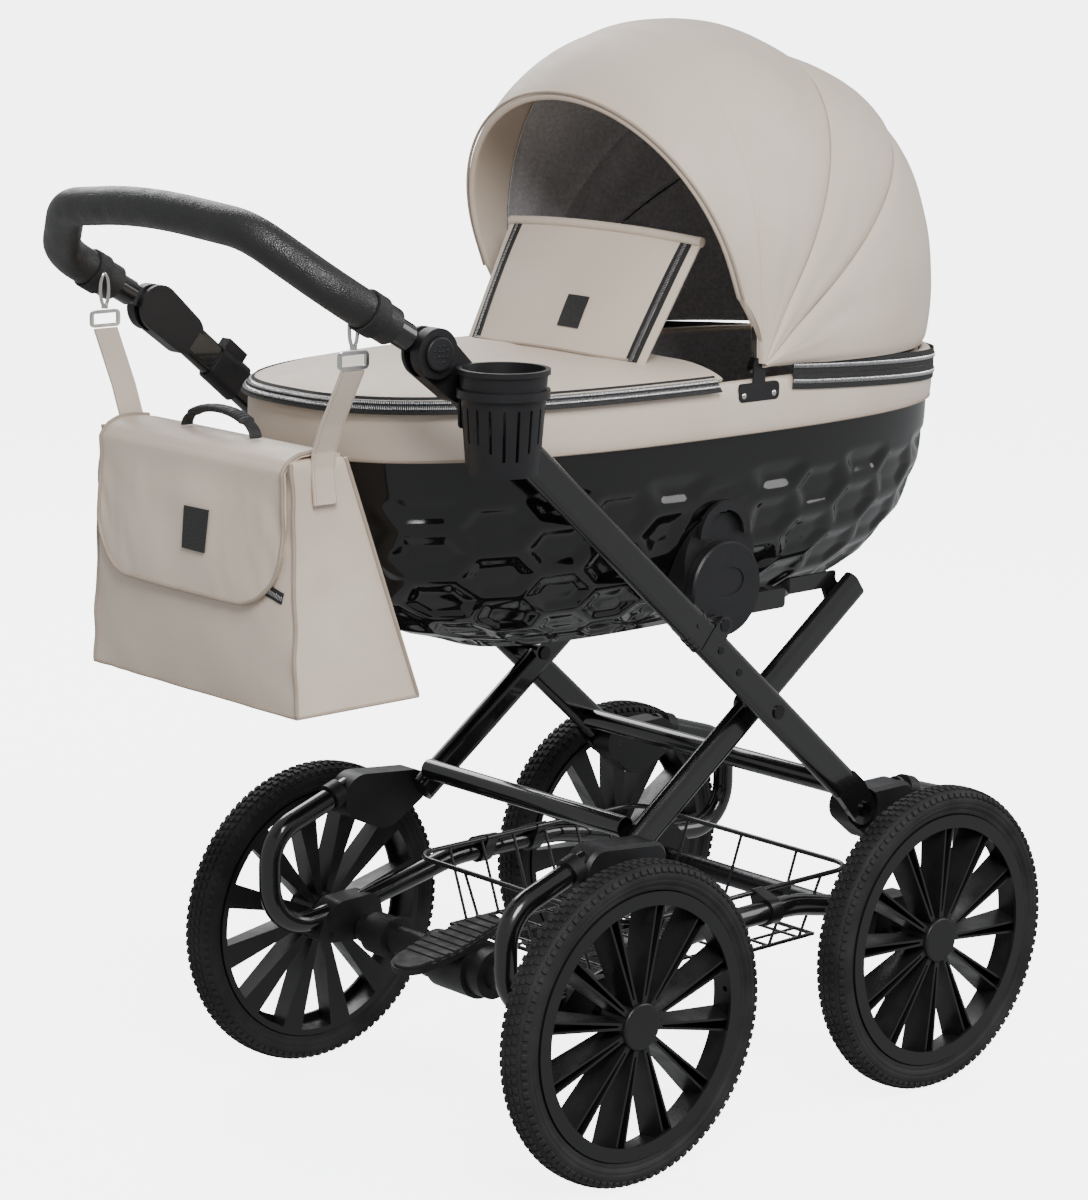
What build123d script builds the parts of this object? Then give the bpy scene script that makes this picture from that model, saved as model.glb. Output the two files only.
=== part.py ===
from build123d import *
import os
from math import cos, sin, radians, pi

os.makedirs("parts", exist_ok=True)

# Bassinet pram, millimetres, +Z up, the hood end of the carrycot towards +X and the side
# with the cup holder towards -Y. The origin lies on the floor under the middle of the pram.
# Sketches use chassis coordinates: x from midway between the axles, z the height, on planes
# set at a distance from the pram's middle plane. The near side is the side at -Y.

# Place of the chassis middle in the part's frame
mid_x = 132.0
mid_y = 19.5

# Clearances
run_gap = 0.05
side_gap = 0.5
cloth_gap = 0.4
fit_gap = 0.2

# Wheels
wheelbase = 475.3
track = 536.2
wheel_r = 177.5
tyre_half_width = 19.5
tyre_bead_r = 146.5
tyre_bead_half = 15.0
tyre_shoulder_drop = 5.5
tyre_shoulder_half = 13.0
tyre_groove_depth = 1.5
tyre_groove_width = 3.0
tyre_groove_off = 6.0
rim_barrel = 7.0
rim_face_wide = 15.0
rim_face_thick = 3.5
rim_half_width = 17.0
spoke_count = 12
spoke_root_width = 7.0
spoke_tip_width = 15.0
spoke_flare = 7.0
spoke_wall = 2.4
spoke_web = 5.0
spoke_face = 13.0
hub_r = 25.0
hub_inboard = 24.0
hub_face = 13.0
cap_r = 26.0
cap_thick = 3.5
valve_r = 3.0
valve_length = 30.0
valve_at_rear_right = 3.6
valve_at_front_right = 70.4
valve_at_rear_left = 206.0
valve_at_front_left = 285.0

# Axles
spindle_r = 6.0
spindle_end = 8.0
axle_rod_r = 6.5
axle_tube_r = 12.5
axle_tube_half = 178.0

# Side tubes: one bent tube on each side makes both C springs
side_tube_off = 199.0
side_tube_r = 12.5
side_tube_wall = 1.6
spring_end_x = 244.0
spring_end_z = 340.4
spring_shoulder_z = 302.0
rear_spring_x = 356.0
front_spring_x = 370.0
spring_heel_z = 188.0
spring_low_x = 240.0
spring_low_z = 197.5
arch_x = 80.0
arch_z = 231.0
spring_bends = [48.0, 52.0, 110.0, 200.0, 200.0, 110.0, 52.0, 48.0]

# Axle brackets and their bolts
bracket_width = 32.0
bolt_r = 4.0
bolt_head_r = 7.0
bolt_head = 4.0
bracket_bolts = [(-22.0, 172.5), (43.0, 174.5)]

bracket_lobes = [(212.0, 172.0, 12.0), (285.0, 178.0, 12.0), (262.0, 196.0, 16.0), (222.0, 197.0, 16.0)]

# Spring blocks that join the C springs to the legs, with the circles of their outlines
front_block_lobes = [(172.0, 330.0, 20.0), (205.0, 316.0, 30.0), (240.0, 326.0, 24.0)]
rear_block_lobes = [(-158.0, 330.0, 20.0), (-199.0, 318.0, 30.0), (-232.0, 330.0, 27.0)]
block_mouth_depth = 12.0
block_inner = 182.5
block_outer = 216.5
block_edge = 4.0
block_collar_r = 16.5
block_collar_length = 16.0
foot_x = 172.0
foot_z = 330.0
foot_cut_r = 25.0
foot_eye_r = 18.0
foot_pin_r = 6.0
foot_pin_head_r = 9.0
foot_pin_head = 2.5

# Legs and push arms: flattened oval tubes
cross_x = 25.0
cross_z = 466.0
leg_slope = 41.1
leg_off = 211.0
front_leg_outer = 219.0
front_leg_tongue = 211.0
arm_depth = 37.0
arm_thick = 16.0
arm_wall = 1.5
leg_foot = 177.0
leg_foot_solid = 22.0
knee_along = 137.0
knee_lift = 25.0
knee_cap = 11.5
knee_eye_r = 10.0
knee_pin_r = 5.0
knee_tongue = 5.0
knee_solid = 28.0
knee_ear_wide = 24.0
knee_ear_room = 9.5
knee_root_wide = 8.0
fork_gap = 0.4
cross_boss_r = 13.0
ridge_depth = 41.0
ridge_width = 4.0
rivet_r = 4.0
rivet_head = 1.0
arm_tube_thick = 15.2
arm_rivets = [(-209.6, 5.4), (-169.8, 3.7)]
arm_start = 40.0
arm_short = 33.0
arm_casting = 42.0
knee_stop_gap = 1.5
ridge_pitch = 9.0
handle_pivot_x = -490.0
handle_pivot_z = 905.0
handle_pivot_off = 222.0
rear_leg_off = 172.0
rear_leg_slope = 36.0
rear_leg_drop = 5.6
rear_leg_depth = 34.0
rear_leg_thick = 20.0
rear_leg_wall = 1.6
rear_leg_foot = 226.0
rear_leg_top = 205.0
rear_leg_inner = 162.0
rear_cap_length = 18.0
seat_pivot_x = 175.0
seat_pivot_z = 568.0
seat_pin_r = 5.0
seat_pin_out = 8.0
cross_pin_r = 6.0
cross_pin_head_r = 8.0
cross_pin_head = 2.0
cross_spacer_r = 10.0
leg_rivets = [(-123.7, 0.8), (-83.1, -1.3)]
brace_r = 12.0
brace_wall = 1.6
front_brace_x = 140.0
front_brace_z = 362.0
rear_brace_x = -152.0
rear_brace_z = 354.0
brace_in_leg = 1.0

# Seat bars and adapters
seat_bar_top = 599.0
seat_bar_bottom = 577.0
seat_bar_outer = 199.0
seat_bar_inner = 180.0
seat_bar_rear = -84.0
seat_bar_front = 52.0
strap_thick = 5.0
strap_inner = 155.5
strap_eye_r = 13.0
strap_inset = 2.0
strap_root = 40.0
strap_bend_x = 100.0
seat_bar_corner = 5.0
adapter_x = -43.0
adapter_r = 52.0
adapter_z = 610.0
adapter_outer = 202.5
adapter_edge = 2.0
adapter_inner = 190.0
badge_wide = 50.0
badge_high = 32.0
badge_depth = 1.2
badge_rise = 8.0

# Push arm ends, collars and handle
housing_r = 25.0
housing_inner = 213.0
housing_outer = 233.0
joint_disc_outer = 240.0
housing_reach = 46.0
housing_neck_r = 22.0
ear_inner = 218.0
handle_ear_gap = 0.5
handle_ear = 8.0
handle_ear_room = 0.6
handle_pin_r = 5.0
handle_eye_r = 12.0
handle_start_x = -30.0
handle_start_z = 17.6
handle_root_x = -36.0
handle_root_z = 21.1
handle_root_r = 9.0
handle_corner = (-608.0, 227.0, 972.0)
handle_bend = (-652.0, 150.0, 1026.0)
handle_middle = (-664.0, 0.0, 1040.0)
handle_bends = [60.0, 80.0, 600.0, 80.0, 60.0]
grip_from = 0.24
button_floor = 236.0
button_travel = 2.0
button_room = 0.4
button_edge = 2.0
button_r = 17.0
button_thick = 6.0
collar_along = 96.0
collar_length = 44.0
collar_wall = 3.5
collar_gap = 0.5
collar_lever = 30.0
collar_lever_out = 8.0
handle_bar_r = 14.0
handle_bar_wall = 1.6
grip_wall = 5.5
handle_side_off = 227.0

# Carrycot
cot_x = -35.0
rim_z = 835.0
band_z = 778.0
band_half_length = 446.8
band_half_width = 200.8
cot_power = 2.7
outline_points = 28
band_wall = 10.0
shell_wall = 4.0
shell_levels = [(778.0, 446.0, 200.0), (740.0, 446.0, 197.0), (690.0, 438.0, 189.0), (640.0, 414.0, 172.0),
                (595.0, 366.0, 146.0), (562.0, 292.0, 109.0), (546.0, 195.0, 64.0)]
lining_gap = 13.0
lining_wall = 6.0
floor_z = 600.0
lining_top = 829.0
mattress_thick = 40.0
mattress_gap = 5.0
mattress_edge = 8.0
mount_outer = 189.5
mount_bottom = 599.4
mount_top = 694.0
recess_off = 191.5
recess_top = 722.0
mount_half = 53.0
release_inner = 192.4
release_outer = 198.0
release_r = 38.0
release_bar = 10.0
release_z = 668.0
apron_thick = 7.0
apron_front = -60.0
screen_foot_x = -123.0
screen_foot_z = 849.0
screen_height = 153.0
screen_lean = 60.3
screen_foot_half = 141.0
screen_top_half = 152.0
screen_thick = 5.0

# Hood
hood_x = -5.0
hood_z = 850.0
bow_angles = [93.2, 57.8, 36.0]
bow_reach = [346.5, 378.7, 426.0]
bow_under = 6.0
bow_half_width = [203.2, 200.2, 197.2]
bow_straight = 110.0
bow_thick = 2.2
bow_width = 14.0
bow_eye_r = 9.0
bow_pin_r = 4.0
canopy_wall = 2.3
visor_from = 2.5
visor_root = 40.0
canopy_half_width = 206.2
canopy_base = 16.0
canopy_back_angles = [19.0, -1.5]
canopy_back_reach = [434.0, 417.5]
visor_angle = 112.0
visor_reach = 305.0
visor_base = 78.0
hinge_plate_length = 62.0
hinge_plate_height = 20.0
hinge_plate_z = 822.0
hinge_plate_outer = 205.7
hinge_plate_corner = 6.0

# Changing bag
bag_half_width = 170.0
bag_top_half_width = 158.0
bag_bottom_z = 545.0
bag_top_z = 800.0
bag_front_x = -610.0
bag_back_x = -453.0
bag_top_front_x = -605.0
bag_top_back_x = -540.0
bag_wall = 3.0
flap_thick = 3.5
flap_gap = 2.5
flap_bottom_z = 652.0
flap_half_width = 152.0
hook_x = -568.0
hook_off = 203.0
hook_top = 950.0
hook_wide = 8.0
hook_slack = 2.6
loop_at = 0.52
loop_r = 19.9
loop_thick = 2.5
loop_width = 20.0
strap_width = 30.0
strap_cloth = 3.0
ring_wire = 3.5
ring_z = 892.0
ring_rise = 9.0
ring_corner = 5.0
strap_foot_z = 755.0
carry_x = -572.0
carry_half = 60.0
carry_rise = 26.0
carry_thick = 4.0
carry_wide = 22.0

# Cup holder
cup_x = -442.0
cup_off = 281.0
cup_top_z = 892.0
cup_height = 104.0
cup_top_r = 43.5
cup_bottom_r = 36.0
cup_wall = 2.4
cup_lip = 2.5
cup_lip_height = 5.0
cup_slot = 3.0
cup_floor = 3.0
cup_slot_bottom = 803.0
cup_slot_rise = 9.0
cup_slot_top = 855.0
clip_ring_top = 872.0
clip_ring_high = 8.0
clip_ring_wall = 3.4
clip_plate_off = 233.4
clip_plate_thick = 2.6
clip_plate_high = 44.0
clip_width = 34.0
clip_corner = 5.0
clip_pad = (-428.5, 853.5)
clip_pad_r = 10.0
clip_pad_off = 228.9
cup_slots = 18

# Brake and basket
barrel_r = 28.0
barrel_half = 52.0
barrel_sleeve = 4.0
barrel_end = 6.0
sleeve_off = 136.0
sleeve_half = 18.0
sleeve_r = 24.0
pedal_half = 30.0
pedal_ring = 5.0
pedal_thick = 7.0
pedal_tilt = 12.0
pedal_circles = [(-68.0, 26.0), (-30.0, 32.0), (10.0, 24.0), (34.0, 22.0)]
pad_inset = 3.0
pad_ribs = 11
pad_rib_pitch = 12.0
pad_rib_depth = 1.5
pad_thick = 3.0
hoop_r = 3.0
wire_r = 1.8
basket_floor_z = 165.0
basket_half = 150.0
basket_rear = -160.0
basket_front = 200.0
basket_top_half = 180.0
basket_corner = 30.0
basket_slope = 30.0
basket_fill = 0.8
basket_wires_along = 7
basket_wires_across = 6
basket_end_off = 90.0
basket_clamp_x = 40.0
basket_clamp_wall = 3.0
basket_clamp_wide = 16.0
hoop_rise = 18.0


def side(off):
    """A plane parallel to the middle plane, off towards the near side, facing outwards."""
    return Plane(origin=(mid_x, mid_y - off, 0), x_dir=(1, 0, 0), z_dir=(0, -1, 0))


def level(z):
    """A horizontal plane at height z, in chassis coordinates."""
    return Plane(origin=(mid_x, mid_y, z), x_dir=(1, 0, 0), z_dir=(0, 0, 1))


def at(x, off, z):
    """A point in the part's frame from chassis coordinates."""
    return Vector(mid_x + x, mid_y - off, z)


def leg_plane(off):
    """Side plane at the leg crossing with its x axis down along the front leg."""
    a = radians(leg_slope)
    return Plane(origin=at(cross_x, off, cross_z), x_dir=(cos(a), 0, -sin(a)), z_dir=(0, -1, 0))


def rear_leg_plane(off):
    """Side plane at the leg crossing with its x axis up along the rear leg."""
    a = radians(rear_leg_slope)
    return Plane(origin=at(cross_x, off, cross_z), x_dir=(cos(a), 0, sin(a)), z_dir=(0, -1, 0))


def bow_plane(angle):
    """Plane through the hood's hinge line, with its y axis at angle above the front end."""
    a = radians(angle)
    return Plane(origin=at(hood_x, 0, hood_z), x_dir=(0, 1, 0), z_dir=(sin(a), 0, -cos(a)))


def along_leg(a, b, off):
    """Point of the leg plane in the part's frame."""
    return leg_plane(off).from_local_coords(Vector(a, b, 0))


middle = side(0)
axle_x = wheelbase / 2
wheel_off = track / 2


# Tyre with its inner tube's valve, made once about Z with the outboard side up
tyre_shoulder_r = wheel_r - tyre_shoulder_drop
tyre_mid_r = (tyre_bead_r + tyre_shoulder_r) / 2
with BuildPart() as tyre_form:
    with BuildSketch(Plane.XZ):
        with BuildLine():
            bead = Line((tyre_bead_r, -tyre_bead_half), (tyre_bead_r, tyre_bead_half))
            ThreePointArc(bead @ 1, (tyre_mid_r, tyre_half_width), (tyre_shoulder_r, tyre_shoulder_half))
            ThreePointArc((tyre_shoulder_r, tyre_shoulder_half), (wheel_r, 0),
                          (tyre_shoulder_r, -tyre_shoulder_half))
            ThreePointArc((tyre_shoulder_r, -tyre_shoulder_half), (tyre_mid_r, -tyre_half_width), bead @ 0)
        make_face()
        with Locations((wheel_r, tyre_groove_off), (wheel_r, -tyre_groove_off)):
            Rectangle(2 * tyre_groove_depth, tyre_groove_width, mode=Mode.SUBTRACT)
    revolve(axis=Axis.Z)
    with BuildSketch(Plane(origin=(tyre_bead_r + valve_r, 0, 0), x_dir=(0, 1, 0), z_dir=(-1, 0, 0))):
        Circle(valve_r)
    extrude(amount=valve_length + valve_r)

# One channel spoke: two thin walls at the face and a wide web inboard
rim_outer_r = tyre_bead_r - fit_gap
rim_barrel_r = rim_outer_r - rim_barrel
rim_face_r = rim_outer_r - rim_face_wide
web_z = -rim_half_width
flare_web = spoke_flare * spoke_web / (spoke_face + rim_half_width)


def spoke_section(root, tip, start, end):
    """A tapered outline along +X, root and tip being half widths."""
    Polygon((start, -root), (end, -tip), (end, tip), (start, root), align=None)


spoke_root_half = spoke_root_width / 2
spoke_tip_half = spoke_tip_width / 2
with BuildPart() as spoke_form:
    with BuildSketch(Plane.XY.offset(spoke_face)):
        spoke_section(spoke_root_half, spoke_tip_half, hub_r - 4, rim_barrel_r + 2)
    with BuildSketch(Plane.XY.offset(web_z)):
        spoke_section(spoke_root_half, spoke_tip_half + spoke_flare, hub_r - 4, rim_barrel_r + 2)
    loft()
    with BuildSketch(Plane.XY.offset(spoke_face)):
        spoke_section(spoke_root_half - spoke_wall, spoke_tip_half - spoke_wall, hub_r + 8, rim_barrel_r)
    with BuildSketch(Plane.XY.offset(web_z + spoke_web)):
        spoke_section(spoke_root_half - spoke_wall, spoke_tip_half - spoke_wall + spoke_flare - flare_web,
                      hub_r + 8, rim_barrel_r)
    loft(mode=Mode.SUBTRACT)

# Rim: barrel, face ring, hub and spokes in one moulding
with BuildPart() as rim_form:
    with BuildSketch(Plane.XY.offset(web_z)):
        Circle(rim_outer_r)
        Circle(rim_barrel_r, mode=Mode.SUBTRACT)
    extrude(amount=2 * rim_half_width)
    with BuildSketch(Plane.XY.offset(rim_half_width - rim_face_thick)):
        Circle(rim_outer_r)
        Circle(rim_face_r, mode=Mode.SUBTRACT)
    extrude(amount=rim_face_thick)
    with BuildSketch(Plane.XY.offset(-hub_inboard)):
        Circle(hub_r)
    extrude(amount=hub_inboard + hub_face)
    with PolarLocations(0, spoke_count, start_angle=180 / spoke_count):
        add(spoke_form.part)
    with BuildSketch(Plane.XY.offset(-hub_inboard)):
        Circle(spindle_r + run_gap)
    extrude(amount=hub_inboard + hub_face, mode=Mode.SUBTRACT)
    with BuildSketch(Plane(origin=(rim_face_r - 2, 0, 0), x_dir=(0, 1, 0), z_dir=(1, 0, 0))):
        Circle(valve_r + fit_gap)
    extrude(amount=rim_face_wide + 6, mode=Mode.SUBTRACT)

# Domed hub cap
with BuildPart() as cap_form:
    with BuildSketch(Plane.XY.offset(hub_face + fit_gap)):
        Circle(cap_r)
    extrude(amount=cap_thick)
    fillet(cap_form.edges().sort_by(Axis.Z)[-1], radius=cap_thick - 0.5)


def wheel_plane(x, off, sign, angle):
    """Plane at a wheel's centre facing outboard, its x axis towards the valve."""
    a = radians(angle)
    return Plane(origin=at(x, sign * off, wheel_r), x_dir=(cos(a), 0, sin(a)), z_dir=(0, -sign, 0))


rear_right_hub = wheel_plane(-axle_x, wheel_off, 1, valve_at_rear_right)
front_right_hub = wheel_plane(axle_x, wheel_off, 1, valve_at_front_right)
rear_left_hub = wheel_plane(-axle_x, wheel_off, -1, valve_at_rear_left)
front_left_hub = wheel_plane(axle_x, wheel_off, -1, valve_at_front_left)

# The four wheels
with BuildPart() as tyre_rear_right:
    add(rear_right_hub * tyre_form.part)
tyre_rear_right.part.label = "tyre_rear_right"
export_step(tyre_rear_right.part, "parts/tyre_rear_right.step")

with BuildPart() as rim_rear_right:
    add(rear_right_hub * rim_form.part)
rim_rear_right.part.label = "rim_rear_right"
export_step(rim_rear_right.part, "parts/rim_rear_right.step")

with BuildPart() as hub_cap_rear_right:
    add(rear_right_hub * cap_form.part)
hub_cap_rear_right.part.label = "hub_cap_rear_right"
export_step(hub_cap_rear_right.part, "parts/hub_cap_rear_right.step")

with BuildPart() as tyre_front_right:
    add(front_right_hub * tyre_form.part)
tyre_front_right.part.label = "tyre_front_right"
export_step(tyre_front_right.part, "parts/tyre_front_right.step")

with BuildPart() as rim_front_right:
    add(front_right_hub * rim_form.part)
rim_front_right.part.label = "rim_front_right"
export_step(rim_front_right.part, "parts/rim_front_right.step")

with BuildPart() as hub_cap_front_right:
    add(front_right_hub * cap_form.part)
hub_cap_front_right.part.label = "hub_cap_front_right"
export_step(hub_cap_front_right.part, "parts/hub_cap_front_right.step")

with BuildPart() as tyre_rear_left:
    add(rear_left_hub * tyre_form.part)
tyre_rear_left.part.label = "tyre_rear_left"
export_step(tyre_rear_left.part, "parts/tyre_rear_left.step")

with BuildPart() as rim_rear_left:
    add(rear_left_hub * rim_form.part)
rim_rear_left.part.label = "rim_rear_left"
export_step(rim_rear_left.part, "parts/rim_rear_left.step")

with BuildPart() as hub_cap_rear_left:
    add(rear_left_hub * cap_form.part)
hub_cap_rear_left.part.label = "hub_cap_rear_left"
export_step(hub_cap_rear_left.part, "parts/hub_cap_rear_left.step")

with BuildPart() as tyre_front_left:
    add(front_left_hub * tyre_form.part)
tyre_front_left.part.label = "tyre_front_left"
export_step(tyre_front_left.part, "parts/tyre_front_left.step")

with BuildPart() as rim_front_left:
    add(front_left_hub * rim_form.part)
rim_front_left.part.label = "rim_front_left"
export_step(rim_front_left.part, "parts/rim_front_left.step")

with BuildPart() as hub_cap_front_left:
    add(front_left_hub * cap_form.part)
hub_cap_front_left.part.label = "hub_cap_front_left"
export_step(hub_cap_front_left.part, "parts/hub_cap_front_left.step")

# Side tubes: each runs from the rear block round the C spring, over the arch and round the front C spring
tube_points = [
    at(-spring_end_x, side_tube_off, spring_end_z), at(-rear_spring_x, side_tube_off, spring_shoulder_z),
    at(-rear_spring_x, side_tube_off, spring_heel_z), at(-spring_low_x, side_tube_off, spring_low_z),
    at(-arch_x, side_tube_off, arch_z), at(arch_x, side_tube_off, arch_z),
    at(spring_low_x, side_tube_off, spring_low_z), at(front_spring_x, side_tube_off, spring_heel_z),
    at(front_spring_x, side_tube_off, spring_shoulder_z), at(spring_end_x, side_tube_off, spring_end_z)]
with BuildLine():
    tube_run = FilletPolyline(*tube_points, radius=spring_bends)

with BuildPart() as side_tube_right:
    with BuildSketch(Plane(origin=tube_run @ 0, z_dir=tube_run % 0)):
        Circle(side_tube_r)
        Circle(side_tube_r - side_tube_wall, mode=Mode.SUBTRACT)
    sweep(path=tube_run)
side_tube_right.part.label = "side_tube_right"
export_step(side_tube_right.part, "parts/side_tube_right.step")

with BuildPart() as side_tube_left:
    add(mirror(side_tube_right.part, about=middle))
side_tube_left.part.label = "side_tube_left"
export_step(side_tube_left.part, "parts/side_tube_left.step")

# Room that the brackets and blocks leave for a side tube
with BuildPart() as tube_room:
    with BuildSketch(Plane(origin=tube_run @ 0, z_dir=tube_run % 0)):
        Circle(side_tube_r + fit_gap)
    sweep(path=tube_run)

# Axles: a tube between the brackets, a rod through them and a spindle in each hub
rod_half = wheel_off - hub_inboard - side_gap
spindle_half = wheel_off + spindle_end
with BuildPart() as front_axle:
    with BuildSketch(side(0)):
        with Locations((axle_x, wheel_r)):
            Circle(axle_tube_r)
    extrude(amount=axle_tube_half, both=True)
    with BuildSketch(side(0)):
        with Locations((axle_x, wheel_r)):
            Circle(axle_rod_r)
    extrude(amount=rod_half, both=True)
    with BuildSketch(side(0)):
        with Locations((axle_x, wheel_r)):
            Circle(spindle_r)
    extrude(amount=spindle_half, both=True)
front_axle.part.label = "front_axle"
export_step(front_axle.part, "parts/front_axle.step")

with BuildPart() as rear_axle:
    with BuildSketch(side(0)):
        with Locations((-axle_x, wheel_r)):
            Circle(axle_tube_r)
    extrude(amount=axle_tube_half, both=True)
    with BuildSketch(side(0)):
        with Locations((-axle_x, wheel_r)):
            Circle(axle_rod_r)
    extrude(amount=rod_half, both=True)
    with BuildSketch(side(0)):
        with Locations((-axle_x, wheel_r)):
            Circle(spindle_r)
    extrude(amount=spindle_half, both=True)
rear_axle.part.label = "rear_axle"
export_step(rear_axle.part, "parts/rear_axle.step")

# Axle brackets: clamps that hold each side tube on its axle
bracket_inner = side_tube_off - bracket_width / 2
with BuildPart() as axle_brackets:
    for end in (1, -1):
        with BuildSketch(side(bracket_inner)):
            for x, z, r in bracket_lobes:
                with Locations((end * x, z)):
                    Circle(r)
            make_hull()
            with Locations((end * axle_x, wheel_r)):
                Circle(axle_rod_r + fit_gap, mode=Mode.SUBTRACT)
            with Locations(*[(end * (axle_x + x), z) for x, z in bracket_bolts]):
                Circle(bolt_r + fit_gap, mode=Mode.SUBTRACT)
        extrude(amount=bracket_width)
    add(tube_room.part, mode=Mode.SUBTRACT)
    mirror(about=middle)
axle_brackets.part.label = "axle_brackets"
export_step(axle_brackets.part, "parts/axle_brackets.step")


def block_outline(lobes):
    """Rounded outline round a row of circles."""
    for x, z, r in lobes:
        with Locations((x, z)):
            Circle(r)
    make_hull()


# Front spring blocks: each carries the foot of a front leg
front_mouth = Plane(origin=tube_run @ 1, z_dir=tube_run % 1)
with BuildPart() as front_spring_blocks:
    with BuildSketch(side(block_inner)):
        block_outline(front_block_lobes)
    extrude(amount=block_outer - block_inner)
    chamfer(front_spring_blocks.faces().sort_by(Axis.Y)[0].edges(), length=block_edge)
    with BuildSketch(front_mouth.offset(-block_collar_length - block_mouth_depth)):
        Circle(block_collar_r)
    extrude(amount=block_collar_length)
    with BuildSketch(side(front_leg_tongue - side_gap)):
        with Locations((foot_x, foot_z)):
            Circle(foot_cut_r)
    extrude(amount=block_outer - block_inner, mode=Mode.SUBTRACT)
    with BuildSketch(side(block_inner)):
        with Locations((foot_x, foot_z)):
            Circle(foot_pin_r + fit_gap)
    extrude(amount=block_outer - block_inner, mode=Mode.SUBTRACT)
    add(tube_room.part, mode=Mode.SUBTRACT)
    mirror(about=middle)
front_spring_blocks.part.label = "front_spring_blocks"
export_step(front_spring_blocks.part, "parts/front_spring_blocks.step")

# Rear spring blocks: the rear legs rest against their inner faces
rear_mouth = Plane(origin=tube_run @ 0, z_dir=tube_run % 0)
with BuildPart() as rear_spring_blocks:
    with BuildSketch(side(block_inner)):
        block_outline(rear_block_lobes)
    extrude(amount=block_outer - block_inner)
    chamfer(rear_spring_blocks.faces().sort_by(Axis.Y)[0].edges(), length=block_edge)
    with BuildSketch(rear_mouth.offset(block_mouth_depth)):
        Circle(block_collar_r)
    extrude(amount=block_collar_length)
    add(tube_room.part, mode=Mode.SUBTRACT)
    mirror(about=middle)
rear_spring_blocks.part.label = "rear_spring_blocks"
export_step(rear_spring_blocks.part, "parts/rear_spring_blocks.step")

# Bolts of the axle brackets and the two foot pins
with BuildPart() as chassis_bolts:
    for end in (1, -1):
        with BuildSketch(side(bracket_inner)):
            with Locations(*[(end * (axle_x + x), z) for x, z in bracket_bolts]):
                Circle(bolt_r)
        extrude(amount=bracket_width)
        with BuildSketch(side(bracket_inner + bracket_width)):
            with Locations(*[(end * (axle_x + x), z) for x, z in bracket_bolts]):
                Circle(bolt_head_r)
        extrude(amount=bolt_head)
    with BuildSketch(side(block_inner)):
        with Locations((foot_x, foot_z)):
            Circle(foot_pin_r)
    extrude(amount=front_leg_outer + side_gap - block_inner)
    with BuildSketch(side(front_leg_outer + side_gap)):
        with Locations((foot_x, foot_z)):
            Circle(foot_pin_head_r)
    extrude(amount=foot_pin_head)
    mirror(about=middle)
chassis_bolts.part.label = "chassis_bolts"
export_step(chassis_bolts.part, "parts/chassis_bolts.step")

# Knee and foot hinges of the front legs
down_leg = Vector(cos(radians(leg_slope)), 0, -sin(radians(leg_slope)))
over_leg = Vector(sin(radians(leg_slope)), 0, cos(radians(leg_slope)))
leg_inner = leg_off - arm_thick / 2
tongue_start = leg_off - knee_tongue / 2
knee_face = -knee_along - knee_cap
foot_along = leg_plane(0).to_local_coords(at(foot_x, 0, foot_z)).X
foot_lift = leg_plane(0).to_local_coords(at(foot_x, 0, foot_z)).Y

# Front legs: oval tubes with a fork at the knee and a tongue at the foot
with BuildPart() as front_legs:
    with BuildSketch(Plane(origin=along_leg(-knee_along, 0, leg_off), x_dir=over_leg, z_dir=down_leg)):
        SlotOverall(arm_depth, arm_thick)
        SlotOverall(arm_depth - 2 * arm_wall, arm_thick - 2 * arm_wall, mode=Mode.SUBTRACT)
    extrude(amount=leg_foot + knee_along)
    with BuildSketch(Plane(origin=along_leg(knee_face, 0, leg_off), x_dir=over_leg, z_dir=down_leg)):
        SlotOverall(arm_depth, arm_thick)
    extrude(amount=knee_cap + knee_solid)
    with BuildSketch(Plane(origin=along_leg(leg_foot - leg_foot_solid, 0, leg_off), x_dir=over_leg,
                           z_dir=down_leg)):
        SlotOverall(arm_depth, arm_thick)
    extrude(amount=leg_foot_solid)
    with BuildSketch(leg_plane(leg_inner)):
        with Locations((-knee_along, knee_lift)):
            Circle(knee_eye_r)
        with Locations((knee_face + knee_ear_wide / 2, 0)):
            Rectangle(knee_ear_wide, knee_ear_wide)
        make_hull()
    extrude(amount=arm_thick)
    with BuildSketch(leg_plane(front_leg_tongue)):
        with Locations((foot_along, foot_lift)):
            Circle(foot_eye_r)
        with Locations((leg_foot - leg_foot_solid / 2, 0)):
            Rectangle(leg_foot_solid, 2 * foot_eye_r)
        make_hull()
    extrude(amount=front_leg_outer - front_leg_tongue)
    with BuildSketch(leg_plane(leg_inner)):
        Circle(cross_boss_r)
    extrude(amount=arm_thick)
    with BuildSketch(leg_plane(tongue_start - fork_gap)):
        with Locations((-knee_along, knee_lift)):
            Circle(knee_eye_r + knee_ear_room)
    extrude(amount=knee_tongue + 2 * fork_gap, mode=Mode.SUBTRACT)
    with BuildSketch(leg_plane(leg_inner)):
        Circle(cross_pin_r + fit_gap)
        with Locations((-knee_along, knee_lift)):
            Circle(knee_pin_r + fit_gap)
    extrude(amount=arm_thick, mode=Mode.SUBTRACT)
    with BuildSketch(leg_plane(leg_inner)):
        with Locations((foot_along, foot_lift)):
            Circle(foot_pin_r + run_gap)
    extrude(amount=arm_thick, mode=Mode.SUBTRACT)
    mirror(about=middle)
front_legs.part.label = "front_legs"
export_step(front_legs.part, "parts/front_legs.step")

# Brace tube between the front legs
with BuildPart() as front_brace:
    with BuildSketch(side(0)):
        with Locations((front_brace_x, front_brace_z)):
            Circle(brace_r)
            Circle(brace_r - brace_wall, mode=Mode.SUBTRACT)
    extrude(amount=leg_inner - fit_gap, both=True)
front_brace.part.label = "front_brace"
export_step(front_brace.part, "parts/front_brace.step")

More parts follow.
